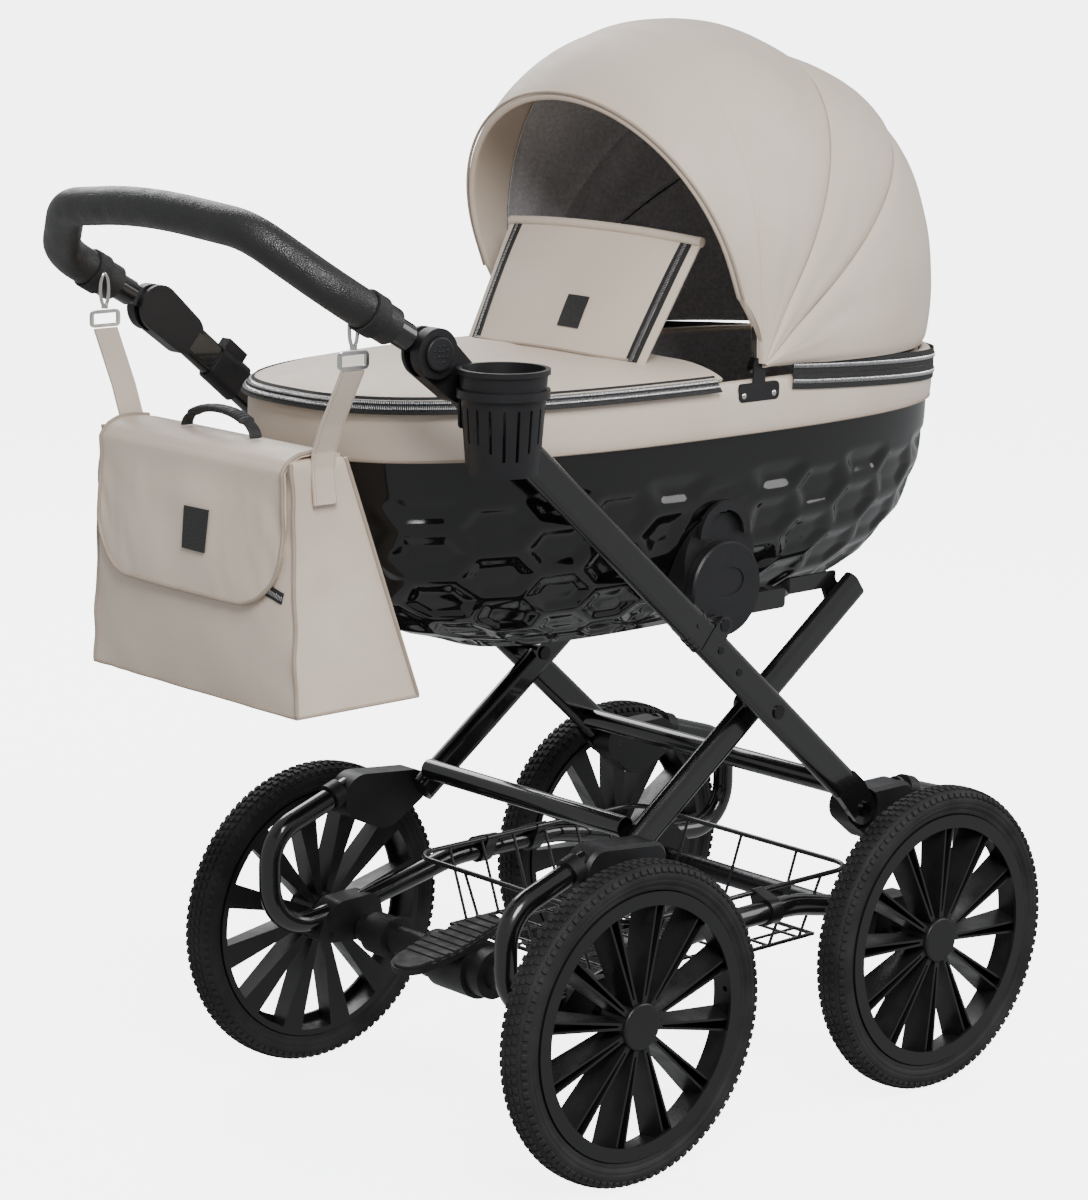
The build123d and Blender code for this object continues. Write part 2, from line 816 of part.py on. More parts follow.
# Crossing pins with their spacers, knee pins and rivets
with BuildPart() as leg_bolts:
    with BuildSketch(leg_plane(rear_leg_inner - side_gap)):
        Circle(cross_pin_r)
    extrude(amount=front_leg_outer + side_gap - rear_leg_inner)
    with BuildSketch(leg_plane(rear_leg_inner - side_gap)):
        Circle(cross_pin_head_r)
    extrude(amount=-cross_pin_head)
    with BuildSketch(leg_plane(front_leg_outer)):
        Circle(cross_pin_head_r)
    extrude(amount=cross_pin_head)
    with BuildSketch(leg_plane(rear_leg_inner + rear_leg_thick + side_gap)):
        Circle(cross_spacer_r)
    extrude(amount=leg_inner - side_gap - rear_leg_inner - rear_leg_thick)
    with BuildSketch(leg_plane(leg_inner)):
        with Locations((-knee_along, knee_lift)):
            Circle(knee_pin_r)
    extrude(amount=arm_thick)
    with BuildSketch(leg_plane(front_leg_outer)):
        with Locations((-knee_along, knee_lift)):
            Circle(knee_pin_r + 2)
        with Locations(*leg_rivets):
            Circle(rivet_r)
    extrude(amount=rivet_head)
    mirror(about=middle)
leg_bolts.part.label = "leg_bolts"
export_step(leg_bolts.part, "parts/leg_bolts.step")

# Rear legs: oval tubes from the rear blocks up to the seat bar hinges, with a welded brace
up_leg = Vector(cos(radians(rear_leg_slope)), 0, sin(radians(rear_leg_slope)))
over_rear = Vector(-sin(radians(rear_leg_slope)), 0, cos(radians(rear_leg_slope)))
rear_start = rear_leg_plane(rear_leg_off).from_local_coords(Vector(-rear_leg_foot, -rear_leg_drop, 0))
rear_cap_at = Vector(rear_leg_top - rear_leg_depth, -rear_leg_drop, 0)
rear_cap = rear_leg_plane(rear_leg_off).from_local_coords(rear_cap_at)
with BuildPart() as rear_legs:
    with BuildSketch(Plane(origin=rear_start, x_dir=over_rear, z_dir=up_leg)):
        SlotOverall(rear_leg_depth, rear_leg_thick)
        SlotOverall(rear_leg_depth - 2 * rear_leg_wall, rear_leg_thick - 2 * rear_leg_wall,
                    mode=Mode.SUBTRACT)
    extrude(amount=rear_leg_foot + rear_leg_top)
    with BuildSketch(Plane(origin=rear_start, x_dir=over_rear, z_dir=up_leg)):
        SlotOverall(rear_leg_depth, rear_leg_thick)
    extrude(amount=rear_cap_length)
    with BuildSketch(Plane(origin=rear_cap, x_dir=over_rear, z_dir=up_leg)):
        SlotOverall(rear_leg_depth, rear_leg_thick)
    extrude(amount=rear_leg_depth)
    with BuildSketch(side(rear_leg_inner)):
        with Locations((cross_x, cross_z)):
            Circle(cross_boss_r)
    extrude(amount=rear_leg_thick)
    with BuildSketch(side(rear_leg_inner - seat_pin_out)):
        with Locations((seat_pivot_x, seat_pivot_z)):
            Circle(seat_pin_r)
    extrude(amount=seat_pin_out + rear_leg_thick / 2)
    with BuildSketch(side(rear_leg_inner)):
        with Locations((cross_x, cross_z)):
            Circle(cross_pin_r + run_gap)
    extrude(amount=rear_leg_thick, mode=Mode.SUBTRACT)
    mirror(about=middle)
    with BuildSketch(side(0)):
        with Locations((rear_brace_x, rear_brace_z)):
            Circle(brace_r)
            Circle(brace_r - brace_wall, mode=Mode.SUBTRACT)
    extrude(amount=rear_leg_inner + brace_in_leg, both=True)
rear_legs.part.label = "rear_legs"
export_step(rear_legs.part, "parts/rear_legs.step")

# Seat bars: a sleeve under each adapter and a steel strap to the hinge on the rear leg
bar_mid_z = (seat_bar_top + seat_bar_bottom) / 2
strap_outer = strap_inner + strap_thick
with BuildPart() as seat_bars:
    with BuildSketch(side(seat_bar_inner)):
        with Locations(((seat_bar_rear + seat_bar_front) / 2, bar_mid_z)):
            RectangleRounded(seat_bar_front - seat_bar_rear, seat_bar_top - seat_bar_bottom, seat_bar_corner)
    extrude(amount=seat_bar_outer - seat_bar_inner)
    with BuildSketch(level(seat_bar_bottom + strap_inset)):
        Polygon((seat_bar_front - strap_root, -seat_bar_inner - strap_thick),
                (seat_bar_front, -seat_bar_inner - strap_thick),
                (strap_bend_x, -strap_outer), (seat_pivot_x, -strap_outer), (seat_pivot_x, -strap_inner),
                (strap_bend_x, -strap_inner), (seat_bar_front, -seat_bar_inner),
                (seat_bar_front - strap_root, -seat_bar_inner),
                align=None)
    extrude(amount=seat_bar_top - seat_bar_bottom - 2 * strap_inset)
    with BuildSketch(side(strap_inner)):
        with Locations((seat_pivot_x, seat_pivot_z)):
            Circle(strap_eye_r)
        with Locations((seat_pivot_x - strap_eye_r, bar_mid_z)):
            Circle((seat_bar_top - seat_bar_bottom) / 2 - strap_inset)
        make_hull()
    extrude(amount=strap_thick)
    with BuildSketch(side(strap_inner)):
        with Locations((seat_pivot_x, seat_pivot_z)):
            Circle(seat_pin_r + run_gap)
    extrude(amount=strap_thick, mode=Mode.SUBTRACT)
    with BuildSketch(side(strap_inner)):
        with Locations((seat_pivot_x + 2 * strap_eye_r, seat_pivot_z + 2 * strap_eye_r)):
            Rectangle(2 * strap_eye_r, 2 * strap_eye_r)
    extrude(amount=strap_thick, mode=Mode.SUBTRACT)
    mirror(about=middle)
seat_bars.part.label = "seat_bars"
export_step(seat_bars.part, "parts/seat_bars.step")

# Adapters: domes on the seat bars that take the carrycot, each with an inset blank badge
with BuildPart() as adapters:
    with BuildSketch(side(adapter_inner)):
        with Locations((adapter_x, adapter_z)):
            Circle(adapter_r)
    extrude(amount=adapter_outer - adapter_inner)
    chamfer(adapters.faces().sort_by(Axis.Y)[0].edges(), length=adapter_edge)
    with BuildSketch(side(adapter_inner)):
        with Locations((adapter_x, seat_bar_top + fit_gap - adapter_r)):
            Rectangle(3 * adapter_r, 2 * adapter_r)
    extrude(amount=seat_bar_outer + fit_gap - adapter_inner, mode=Mode.SUBTRACT)
    with BuildSketch(side(adapter_outer - badge_depth)):
        with Locations((adapter_x, adapter_z + badge_rise)):
            Ellipse(badge_wide / 2, badge_high / 2)
    extrude(amount=badge_depth, mode=Mode.SUBTRACT)
    mirror(about=middle)
adapters.part.label = "adapters"
export_step(adapters.part, "parts/adapters.step")

# Push arms: straight oval tubes from the knees up to the handle joints
arm_foot = along_leg(-knee_along, 0, leg_off)
arm_top = at(handle_pivot_x, handle_pivot_off, handle_pivot_z)
up_arm = (arm_top - arm_foot).normalized()
arm_across = Vector(0, -1, 0).cross(up_arm).normalized()
arm_length = (arm_top - arm_foot).length


def arm_plane(along):
    """Plane square to the near push arm, at a distance up from its foot."""
    return Plane(origin=arm_foot + up_arm * along, x_dir=arm_across, z_dir=up_arm)


with BuildPart() as push_arm_right:
    with BuildSketch(arm_plane(arm_start)):
        SlotOverall(arm_depth, arm_tube_thick)
        SlotOverall(arm_depth - 2 * arm_wall, arm_tube_thick - 2 * arm_wall, mode=Mode.SUBTRACT)
    extrude(amount=arm_length - arm_start - arm_short)
    with BuildSketch(Plane(origin=along_leg(knee_face - knee_stop_gap, 0, leg_off), x_dir=over_leg,
                           z_dir=-down_leg)):
        SlotOverall(arm_depth + 2, arm_thick)
    extrude(amount=arm_casting)
    for i in range(3):
        with BuildSketch(Plane(origin=along_leg(knee_face - knee_stop_gap - ridge_pitch * i, 0, leg_off),
                               x_dir=over_leg, z_dir=-down_leg)):
            SlotOverall(ridge_depth, arm_thick)
        extrude(amount=ridge_width)
    with BuildSketch(leg_plane(tongue_start)):
        with Locations((-knee_along, knee_lift)):
            Circle(knee_eye_r)
        with Locations((knee_face - knee_stop_gap - ridge_width, (arm_depth - knee_root_wide) / 2)):
            Rectangle(2 * ridge_width, knee_root_wide)
        make_hull()
    extrude(amount=knee_tongue)
    with BuildSketch(leg_plane(leg_off)):
        with Locations(*arm_rivets):
            Circle(rivet_r)
    extrude(amount=arm_thick / 2 + rivet_head)
    with BuildSketch(leg_plane(leg_inner - side_gap)):
        with Locations((-knee_along, knee_lift)):
            Circle(knee_eye_r + side_gap)
    extrude(amount=tongue_start - leg_inner + side_gap, mode=Mode.SUBTRACT)
    with BuildSketch(leg_plane(leg_inner)):
        with Locations((-knee_along, knee_lift)):
            Circle(knee_pin_r + run_gap)
    extrude(amount=arm_thick, mode=Mode.SUBTRACT)
push_arm_right.part.label = "push_arm_right"
export_step(push_arm_right.part, "parts/push_arm_right.step")

with BuildPart() as push_arm_left:
    add(mirror(push_arm_right.part, about=middle))
push_arm_left.part.label = "push_arm_left"
export_step(push_arm_left.part, "parts/push_arm_left.step")

# Handle joint housings at the tops of the arms
down_arm = -up_arm
with BuildPart() as handle_joint_housings:
    with BuildSketch(side(housing_inner)):
        with Locations((handle_pivot_x, handle_pivot_z)):
            Circle(housing_r)
        with Locations((handle_pivot_x + down_arm.X * housing_reach,
                        handle_pivot_z + down_arm.Z * housing_reach)):
            Circle(housing_neck_r)
        make_hull()
    extrude(amount=housing_outer - housing_inner)
    with BuildSketch(side(housing_inner)):
        with Locations((handle_pivot_x, handle_pivot_z)):
            Circle(housing_r)
    extrude(amount=joint_disc_outer - housing_inner)
    with BuildSketch(side(ear_inner - handle_ear_gap)):
        with Locations((handle_pivot_x, handle_pivot_z)):
            Circle(housing_r + handle_ear_room)
    extrude(amount=handle_ear + 2 * handle_ear_gap, mode=Mode.SUBTRACT)
    with BuildSketch(side(housing_inner)):
        with Locations((handle_pivot_x, handle_pivot_z)):
            Circle(handle_pin_r)
    extrude(amount=button_floor - housing_inner)
    with BuildSketch(side(button_floor)):
        with Locations((handle_pivot_x, handle_pivot_z)):
            Circle(button_r + button_room)
    extrude(amount=joint_disc_outer - button_floor, mode=Mode.SUBTRACT)
    with BuildSketch(arm_plane(arm_length - arm_short + side_gap)):
        SlotOverall(arm_depth + 2 * fit_gap, arm_tube_thick + 2 * fit_gap)
    extrude(amount=-housing_reach, mode=Mode.SUBTRACT)
    mirror(about=middle)
handle_joint_housings.part.label = "handle_joint_housings"
export_step(handle_joint_housings.part, "parts/handle_joint_housings.step")

# Push buttons of the handle joints
with BuildPart() as button_right:
    with BuildSketch(side(button_floor + button_travel + fit_gap)):
        with Locations((handle_pivot_x, handle_pivot_z)):
            Circle(button_r)
    extrude(amount=button_thick)
    fillet(button_right.faces().sort_by(Axis.Y)[0].edges(), radius=button_edge)
button_right.part.label = "button_right"
export_step(button_right.part, "parts/button_right.step")

with BuildPart() as button_left:
    add(mirror(button_right.part, about=middle))
button_left.part.label = "button_left"
export_step(button_left.part, "parts/button_left.step")

# Lock collars that slide on the push arms
with BuildPart() as lock_collars:
    with BuildSketch(arm_plane(arm_length - collar_along - collar_length)):
        SlotOverall(arm_depth + 2 * collar_wall, arm_tube_thick + 2 * collar_wall)
        SlotOverall(arm_depth + 2 * collar_gap, arm_tube_thick + 2 * collar_gap, mode=Mode.SUBTRACT)
    extrude(amount=collar_length)
    with BuildSketch(arm_plane(arm_length - collar_along - collar_lever)):
        with Locations((-arm_depth / 2 - collar_wall, 0)):
            Rectangle(2 * collar_lever_out, arm_tube_thick)
        SlotOverall(arm_depth + 2 * collar_gap, arm_tube_thick + 2 * collar_gap, mode=Mode.SUBTRACT)
    extrude(amount=collar_lever)
    mirror(about=middle)
lock_collars.part.label = "lock_collars"
export_step(lock_collars.part, "parts/lock_collars.step")

# Handle: a bent bar with an ear in each joint
bar_start = (handle_pivot_x + handle_start_x, handle_side_off, handle_pivot_z + handle_start_z)
handle_points = [bar_start, handle_corner, handle_bend]
handle_points = handle_points + [handle_middle] + [(x, -off, z) for x, off, z in reversed(handle_points)]
with BuildLine():
    handle_run = FilletPolyline(*[at(x, off, z) for x, off, z in handle_points], radius=handle_bends)
with BuildPart() as handle_bar:
    with BuildSketch(Plane(origin=handle_run @ 0, z_dir=handle_run % 0)):
        Circle(handle_bar_r)
        Circle(handle_bar_r - handle_bar_wall, mode=Mode.SUBTRACT)
    sweep(path=handle_run)
    with BuildSketch(side(ear_inner)):
        with Locations((handle_pivot_x, handle_pivot_z)):
            Circle(handle_eye_r)
        with Locations((handle_pivot_x + handle_root_x, handle_pivot_z + handle_root_z)):
            Circle(handle_root_r)
        make_hull()
        with Locations((handle_pivot_x, handle_pivot_z)):
            Circle(handle_pin_r + run_gap, mode=Mode.SUBTRACT)
    extrude(amount=handle_ear)
    mirror(handle_bar.part.solids()[-1], about=middle)
handle_bar.part.label = "handle_bar"
export_step(handle_bar.part, "parts/handle_bar.step")

# Padded grip round the bar
grip_start = tuple(a + grip_from * (b - a) for a, b in zip(bar_start, handle_corner))
grip_points = [grip_start, handle_corner, handle_bend]
grip_points = grip_points + [handle_middle] + [(x, -off, z) for x, off, z in reversed(grip_points)]
with BuildLine():
    grip_run = FilletPolyline(*[at(x, off, z) for x, off, z in grip_points], radius=handle_bends)
with BuildPart() as handle_grip:
    with BuildSketch(Plane(origin=grip_run @ 0, z_dir=grip_run % 0)):
        Circle(handle_bar_r + grip_wall)
        Circle(handle_bar_r + fit_gap, mode=Mode.SUBTRACT)
    sweep(path=grip_run)
handle_grip.part.label = "handle_grip"
export_step(handle_grip.part, "parts/handle_grip.step")

# Cup clip: a plate and a ring on the near push arm
ring_r = cup_bottom_r + (cup_top_r - cup_bottom_r) * (clip_ring_top - cup_top_z + cup_height) / cup_height
with BuildPart() as cup_clip:
    with BuildSketch(level(clip_ring_top)):
        with Locations((cup_x, -cup_off)):
            Circle(ring_r + side_gap + clip_ring_wall)
        with Locations((cup_x, -(clip_plate_off + cup_off - cup_top_r) / 2)):
            Rectangle(clip_width, cup_off - cup_top_r - clip_plate_off)
        with Locations((cup_x, -cup_off)):
            Circle(ring_r + side_gap, mode=Mode.SUBTRACT)
    extrude(amount=-clip_ring_high)
    with BuildSketch(side(clip_plate_off)):
        with Locations((cup_x, clip_ring_top - clip_plate_high / 2)):
            RectangleRounded(clip_width, clip_plate_high, clip_corner)
        with Locations(clip_pad):
            Circle(clip_pad_r)
        make_hull()
    extrude(amount=clip_plate_thick)
    with BuildSketch(side(clip_pad_off)):
        with Locations(clip_pad):
            Circle(clip_pad_r)
    extrude(amount=clip_plate_off + clip_plate_thick - clip_pad_off)
cup_clip.part.label = "cup_clip"
export_step(cup_clip.part, "parts/cup_clip.step")

# Cup holder: a slotted basket with a rolled rim that lifts out of its ring
with BuildPart() as cup_holder:
    with BuildSketch(Plane(origin=at(cup_x, cup_off, 0), x_dir=(1, 0, 0), z_dir=(0, -1, 0))):
        with BuildLine():
            Polyline((0, cup_top_z - cup_height), (cup_bottom_r, cup_top_z - cup_height),
                     (cup_top_r, cup_top_z - cup_lip_height),
                     (cup_top_r + cup_lip, cup_top_z - cup_lip_height),
                     (cup_top_r + cup_lip, cup_top_z), (cup_top_r - cup_wall, cup_top_z),
                     (cup_bottom_r - cup_wall, cup_top_z - cup_height + cup_floor),
                     (0, cup_top_z - cup_height + cup_floor), close=True)
        make_face()
    revolve(axis=Axis(at(cup_x, cup_off, 0), (0, 0, 1)))
    for i in range(cup_slots):
        a = 2 * pi * (i + 0.5) / cup_slots
        slot_bottom = cup_slot_bottom + cup_slot_rise * (1 - cos(3 * a))
        with BuildSketch(Plane(origin=at(cup_x, cup_off, 0), x_dir=(-sin(a), cos(a), 0),
                               z_dir=(cos(a), sin(a), 0))):
            with Locations((0, (slot_bottom + cup_slot_top) / 2)):
                SlotOverall(cup_slot_top - slot_bottom, cup_slot, rotation=90)
        extrude(amount=cup_top_r + cup_lip, mode=Mode.SUBTRACT)
cup_holder.part.label = "cup_holder"
export_step(cup_holder.part, "parts/cup_holder.step")


def cot_outline(half_length, half_width):
    """Closed superellipse of the carrycot in plan, drawn in the current sketch."""
    ring = []
    for i in range(outline_points):
        t = 2 * pi * i / outline_points
        ux = abs(cos(t)) ** (2 / cot_power) * (1 if cos(t) > 0 else -1)
        uy = abs(sin(t)) ** (2 / cot_power) * (1 if sin(t) > 0 else -1)
        ring.append((cot_x + half_length * ux, half_width * uy))
    with BuildLine() as loop:
        Spline(*ring, periodic=True)
    make_face(loop.edges())


def shell_half(z):
    """Half length and half width of the shell's outside at height z."""
    for (z1, a1, b1), (z0, a0, b0) in zip(shell_levels, shell_levels[1:]):
        if z >= z0:
            break
    k = (z - z0) / (z1 - z0)
    return a0 + k * (a1 - a0), b0 + k * (b1 - b0)


# Carrycot shell: a thin tub with a shallow arch pressed in beside each adapter
with BuildPart() as shell_form:
    for z, half_length, half_width in shell_levels:
        with BuildSketch(level(z)):
            cot_outline(half_length, half_width)
    loft()

with BuildPart() as cot_shell:
    add(shell_form.part)
    for z, half_length, half_width in shell_levels:
        with BuildSketch(level(z + shell_wall)):
            cot_outline(half_length - shell_wall, half_width - shell_wall)
    loft(mode=Mode.SUBTRACT)
    for sign in (1, -1):
        with BuildSketch(Plane(origin=at(0, sign * recess_off, 0), x_dir=(1, 0, 0), z_dir=(0, -1, 0))):
            with Locations((adapter_x, recess_top - mount_half)):
                Circle(mount_half)
            with Locations((adapter_x, recess_top - 1.5 * mount_half)):
                Rectangle(2 * mount_half, mount_half)
        extrude(amount=sign * 2 * shell_wall, mode=Mode.SUBTRACT)
cot_shell.part.label = "cot_shell"
export_step(cot_shell.part, "parts/cot_shell.step")

# Leather-covered band round the carrycot's rim
with BuildPart() as cot_band:
    with BuildSketch(level(band_z)):
        cot_outline(band_half_length, band_half_width)
    extrude(amount=rim_z - band_z)
    with BuildSketch(level(band_z)):
        cot_outline(band_half_length - band_wall, band_half_width - band_wall)
    extrude(amount=rim_z - band_z, mode=Mode.SUBTRACT)
cot_band.part.label = "cot_band"
export_step(cot_band.part, "parts/cot_band.step")

# Quilted lining: an open tub inside the shell and band
lining_levels = [lining_top, band_z] + [z for z, a, b in shell_levels[1:] if z > floor_z] + [floor_z]
with BuildPart() as cot_lining:
    for z in lining_levels:
        half_length, half_width = shell_half(min(z, band_z))
        with BuildSketch(level(z)):
            cot_outline(half_length - lining_gap, half_width - lining_gap)
    loft(ruled=True)
    for z in lining_levels:
        half_length, half_width = shell_half(min(z, band_z))
        with BuildSketch(level(z + lining_wall)):
            cot_outline(half_length - lining_gap - lining_wall, half_width - lining_gap - lining_wall)
    loft(ruled=True, mode=Mode.SUBTRACT)
cot_lining.part.label = "cot_lining"
export_step(cot_lining.part, "parts/cot_lining.step")

# Mattress on the lining's floor
mattress_half = shell_half(floor_z)
mattress_in = lining_gap + lining_wall + mattress_gap
with BuildPart() as mattress:
    with BuildSketch(level(floor_z + lining_wall + cloth_gap)):
        cot_outline(mattress_half[0] - mattress_in, mattress_half[1] - mattress_in)
    extrude(amount=mattress_thick)
    fillet(mattress.edges(), radius=mattress_edge)
mattress.part.label = "mattress"
export_step(mattress.part, "parts/mattress.step")

# Apron over the foot end of the rim
with BuildPart() as apron:
    with BuildSketch(level(rim_z + cloth_gap)):
        cot_outline(band_half_length, band_half_width)
        with Locations((apron_front + band_half_length, 0)):
            Rectangle(2 * band_half_length, 3 * band_half_width, mode=Mode.SUBTRACT)
    extrude(amount=apron_thick)
apron.part.label = "apron"
export_step(apron.part, "parts/apron.step")

# Windscreen flap standing on the apron's zip
lean = radians(screen_lean)
screen_plane = Plane(origin=at(screen_foot_x, 0, screen_foot_z), x_dir=(0, 1, 0),
                     z_dir=(sin(lean), 0, -cos(lean)))
with BuildPart() as windscreen:
    with BuildSketch(screen_plane):
        Polygon((-screen_foot_half, 0), (screen_foot_half, 0), (screen_top_half, screen_height),
                (-screen_top_half, screen_height), align=None)
    extrude(amount=screen_thick)
windscreen.part.label = "windscreen"
export_step(windscreen.part, "parts/windscreen.step")

# Receivers on the shell that stand inside the adapters
with BuildPart() as cot_receivers:
    with BuildSketch(side(0)):
        with Locations((adapter_x, mount_top - mount_half)):
            Circle(mount_half)
        with Locations((adapter_x, (mount_bottom + mount_top - mount_half) / 2)):
            Rectangle(2 * mount_half, mount_top - mount_half - mount_bottom)
        with Locations((adapter_x, mount_bottom - mount_half)):
            Rectangle(4 * mount_half, 2 * mount_half, mode=Mode.SUBTRACT)
    extrude(amount=mount_outer, both=True)
    for z, half_length, half_width in shell_levels:
        with BuildSketch(level(z)):
            cot_outline(half_length + fit_gap, half_width + fit_gap)
    loft(mode=Mode.SUBTRACT)
cot_receivers.part.label = "cot_receivers"
export_step(cot_receivers.part, "parts/cot_receivers.step")

# Release handles: arched levers above the adapters
with BuildPart() as release_handles:
    with BuildSketch(side(release_inner)):
        with Locations((adapter_x, release_z)):
            Circle(release_r)
            Circle(release_r - release_bar, mode=Mode.SUBTRACT)
        with Locations((adapter_x, release_z - release_r)):
            Rectangle(3 * release_r, 2 * release_r, mode=Mode.SUBTRACT)
    extrude(amount=release_outer - release_inner)
    mirror(about=middle)
release_handles.part.label = "release_handles"
export_step(release_handles.part, "parts/release_handles.step")

# Hinge plates of the hood on the band, each with a pin through the bows' eyes
plate_inner = band_half_width + cloth_gap
with BuildPart() as hood_brackets:
    with BuildSketch(side(plate_inner)):
        with Locations((hood_x, hinge_plate_z)):
            RectangleRounded(hinge_plate_length, hinge_plate_height, hinge_plate_corner)
    extrude(amount=hinge_plate_outer - plate_inner)
    with BuildSketch(side(bow_half_width[0] + side_gap)):
        with Locations((hood_x, hood_z)):
            Circle(bow_eye_r)
        with Locations((hood_x, hinge_plate_z)):
            Circle(bow_eye_r)
        make_hull()
    extrude(amount=hinge_plate_outer - bow_half_width[0] - side_gap)
    with BuildSketch(side(bow_half_width[2] - bow_thick - side_gap)):
        with Locations((hood_x, hood_z)):
            Circle(bow_pin_r)
    extrude(amount=hinge_plate_outer - bow_half_width[2] + bow_thick)
    mirror(about=middle)
hood_brackets.part.label = "hood_brackets"
export_step(hood_brackets.part, "parts/hood_brackets.step")


def hood_strip(half_width, reach, base, wall):
    """Arched strip with straight sides up to bow_straight and an elliptical top."""
    rise = reach - bow_straight
    with BuildLine() as strip:
        Line((half_width, base), (half_width, bow_straight))
        EllipticalCenterArc((0, bow_straight), half_width, rise, 0, arc_size=180)
        Polyline((-half_width, bow_straight), (-half_width, base), (wall - half_width, base),
                 (wall - half_width, bow_straight))
        EllipticalCenterArc((0, bow_straight), half_width - wall, rise - wall, 0, arc_size=180)
        Polyline((half_width - wall, bow_straight), (half_width - wall, base), (half_width, base))
    make_face(strip.edges())


# Three hood bows, layered at the hinge: front outside, then middle, then rear
with BuildPart() as bow_front:
    with BuildSketch(bow_plane(bow_angles[0])):
        hood_strip(bow_half_width[0], bow_reach[0] - bow_under, 0, bow_thick)
    extrude(amount=bow_width / 2, both=True)
    for sign in (1, -1):
        with BuildSketch(side(sign * bow_half_width[0])):
            with Locations((hood_x, hood_z)):
                Circle(bow_eye_r)
        extrude(amount=-sign * bow_thick)
    with BuildSketch(side(0)):
        with Locations((hood_x, hood_z)):
            Circle(bow_pin_r + run_gap)
    extrude(amount=bow_half_width[0], both=True, mode=Mode.SUBTRACT)
bow_front.part.label = "bow_front"
export_step(bow_front.part, "parts/bow_front.step")

with BuildPart() as bow_middle:
    with BuildSketch(bow_plane(bow_angles[1])):
        hood_strip(bow_half_width[1], bow_reach[1] - bow_under, 0, bow_thick)
    extrude(amount=bow_width / 2, both=True)
    for sign in (1, -1):
        with BuildSketch(side(sign * bow_half_width[1])):
            with Locations((hood_x, hood_z)):
                Circle(bow_eye_r)
        extrude(amount=-sign * bow_thick)
    with BuildSketch(side(0)):
        with Locations((hood_x, hood_z)):
            Circle(bow_pin_r + run_gap)
    extrude(amount=bow_half_width[1], both=True, mode=Mode.SUBTRACT)
bow_middle.part.label = "bow_middle"
export_step(bow_middle.part, "parts/bow_middle.step")

with BuildPart() as bow_rear:
    with BuildSketch(bow_plane(bow_angles[2])):
        hood_strip(bow_half_width[2], bow_reach[2] - bow_under, 0, bow_thick)
    extrude(amount=bow_width / 2, both=True)
    for sign in (1, -1):
        with BuildSketch(side(sign * bow_half_width[2])):
            with Locations((hood_x, hood_z)):
                Circle(bow_eye_r)
        extrude(amount=-sign * bow_thick)
    with BuildSketch(side(0)):
        with Locations((hood_x, hood_z)):
            Circle(bow_pin_r + run_gap)
    extrude(amount=bow_half_width[2], both=True, mode=Mode.SUBTRACT)
bow_rear.part.label = "bow_rear"
export_step(bow_rear.part, "parts/bow_rear.step")

# Canopy over the bows, open below and towards the foot end
with BuildPart() as canopy:
    for angle, reach in zip(bow_angles + canopy_back_angles, bow_reach + canopy_back_reach):
        with BuildSketch(bow_plane(angle)):
            hood_strip(canopy_half_width, reach, canopy_base, canopy_wall)
    loft()
canopy.part.label = "canopy"
export_step(canopy.part, "parts/canopy.step")

# Visor in front of the first bow
with BuildPart() as visor:
    with BuildSketch(bow_plane(bow_angles[0] + visor_from)):
        hood_strip(canopy_half_width, bow_reach[0], visor_root, canopy_wall)
    with BuildSketch(bow_plane(visor_angle)):
        hood_strip(canopy_half_width, visor_reach, visor_base, canopy_wall)
    loft()
visor.part.label = "visor"
export_step(visor.part, "parts/visor.step")

# Bag body: an open-topped bag with sloping sides
with BuildPart() as bag_body:
    with BuildSketch(level(bag_bottom_z)):
        with Locations(((bag_front_x + bag_back_x) / 2, 0)):
            Rectangle(bag_back_x - bag_front_x, 2 * bag_half_width)
    with BuildSketch(level(bag_top_z)):
        with Locations(((bag_top_front_x + bag_top_back_x) / 2, 0)):
            Rectangle(bag_top_back_x - bag_top_front_x, 2 * bag_top_half_width)
    loft()
    with BuildSketch(level(bag_bottom_z + bag_wall)):
        with Locations(((bag_front_x + bag_back_x) / 2, 0)):
            Rectangle(bag_back_x - bag_front_x - 2 * bag_wall, 2 * (bag_half_width - bag_wall))
    with BuildSketch(level(bag_top_z)):
        with Locations(((bag_top_front_x + bag_top_back_x) / 2, 0)):
            Rectangle(bag_top_back_x - bag_top_front_x - 2 * bag_wall, 2 * (bag_top_half_width - bag_wall))
    loft(mode=Mode.SUBTRACT)
bag_body.part.label = "bag_body"
export_step(bag_body.part, "parts/bag_body.step")

# Bag flap: over the top from the back edge and down the front
with BuildPart() as bag_flap:
    with BuildSketch(side(0)):
        Polygon((bag_top_back_x, bag_top_z + flap_gap), (bag_top_back_x, bag_top_z + flap_gap + flap_thick),
                (bag_top_front_x - flap_gap, bag_top_z + flap_gap + flap_thick),
                (bag_top_front_x - flap_gap - flap_thick, bag_top_z + flap_gap),
                (bag_front_x - flap_gap - flap_thick, flap_bottom_z),
                (bag_front_x - flap_gap, flap_bottom_z),
                (bag_top_front_x - flap_gap, bag_top_z + flap_gap), align=None)
    extrude(amount=flap_half_width, both=True)
bag_flap.part.label = "bag_flap"
export_step(bag_flap.part, "parts/bag_flap.step")

# Carry handle: a ribbed strap arched over the flap
carry_base = bag_top_z + flap_gap + flap_thick + cloth_gap
with BuildPart() as bag_handle:
    with BuildSketch(Plane(origin=at(carry_x, 0, carry_base), x_dir=(0, 1, 0), z_dir=(1, 0, 0))):
        Ellipse(carry_half, carry_rise)
        Ellipse(carry_half - carry_thick, carry_rise - carry_thick, mode=Mode.SUBTRACT)
        with Locations((0, -carry_rise)):
            Rectangle(3 * carry_half, 2 * carry_rise, mode=Mode.SUBTRACT)
    extrude(amount=carry_wide / 2, both=True)
bag_handle.part.label = "bag_handle"
export_step(bag_handle.part, "parts/bag_handle.step")

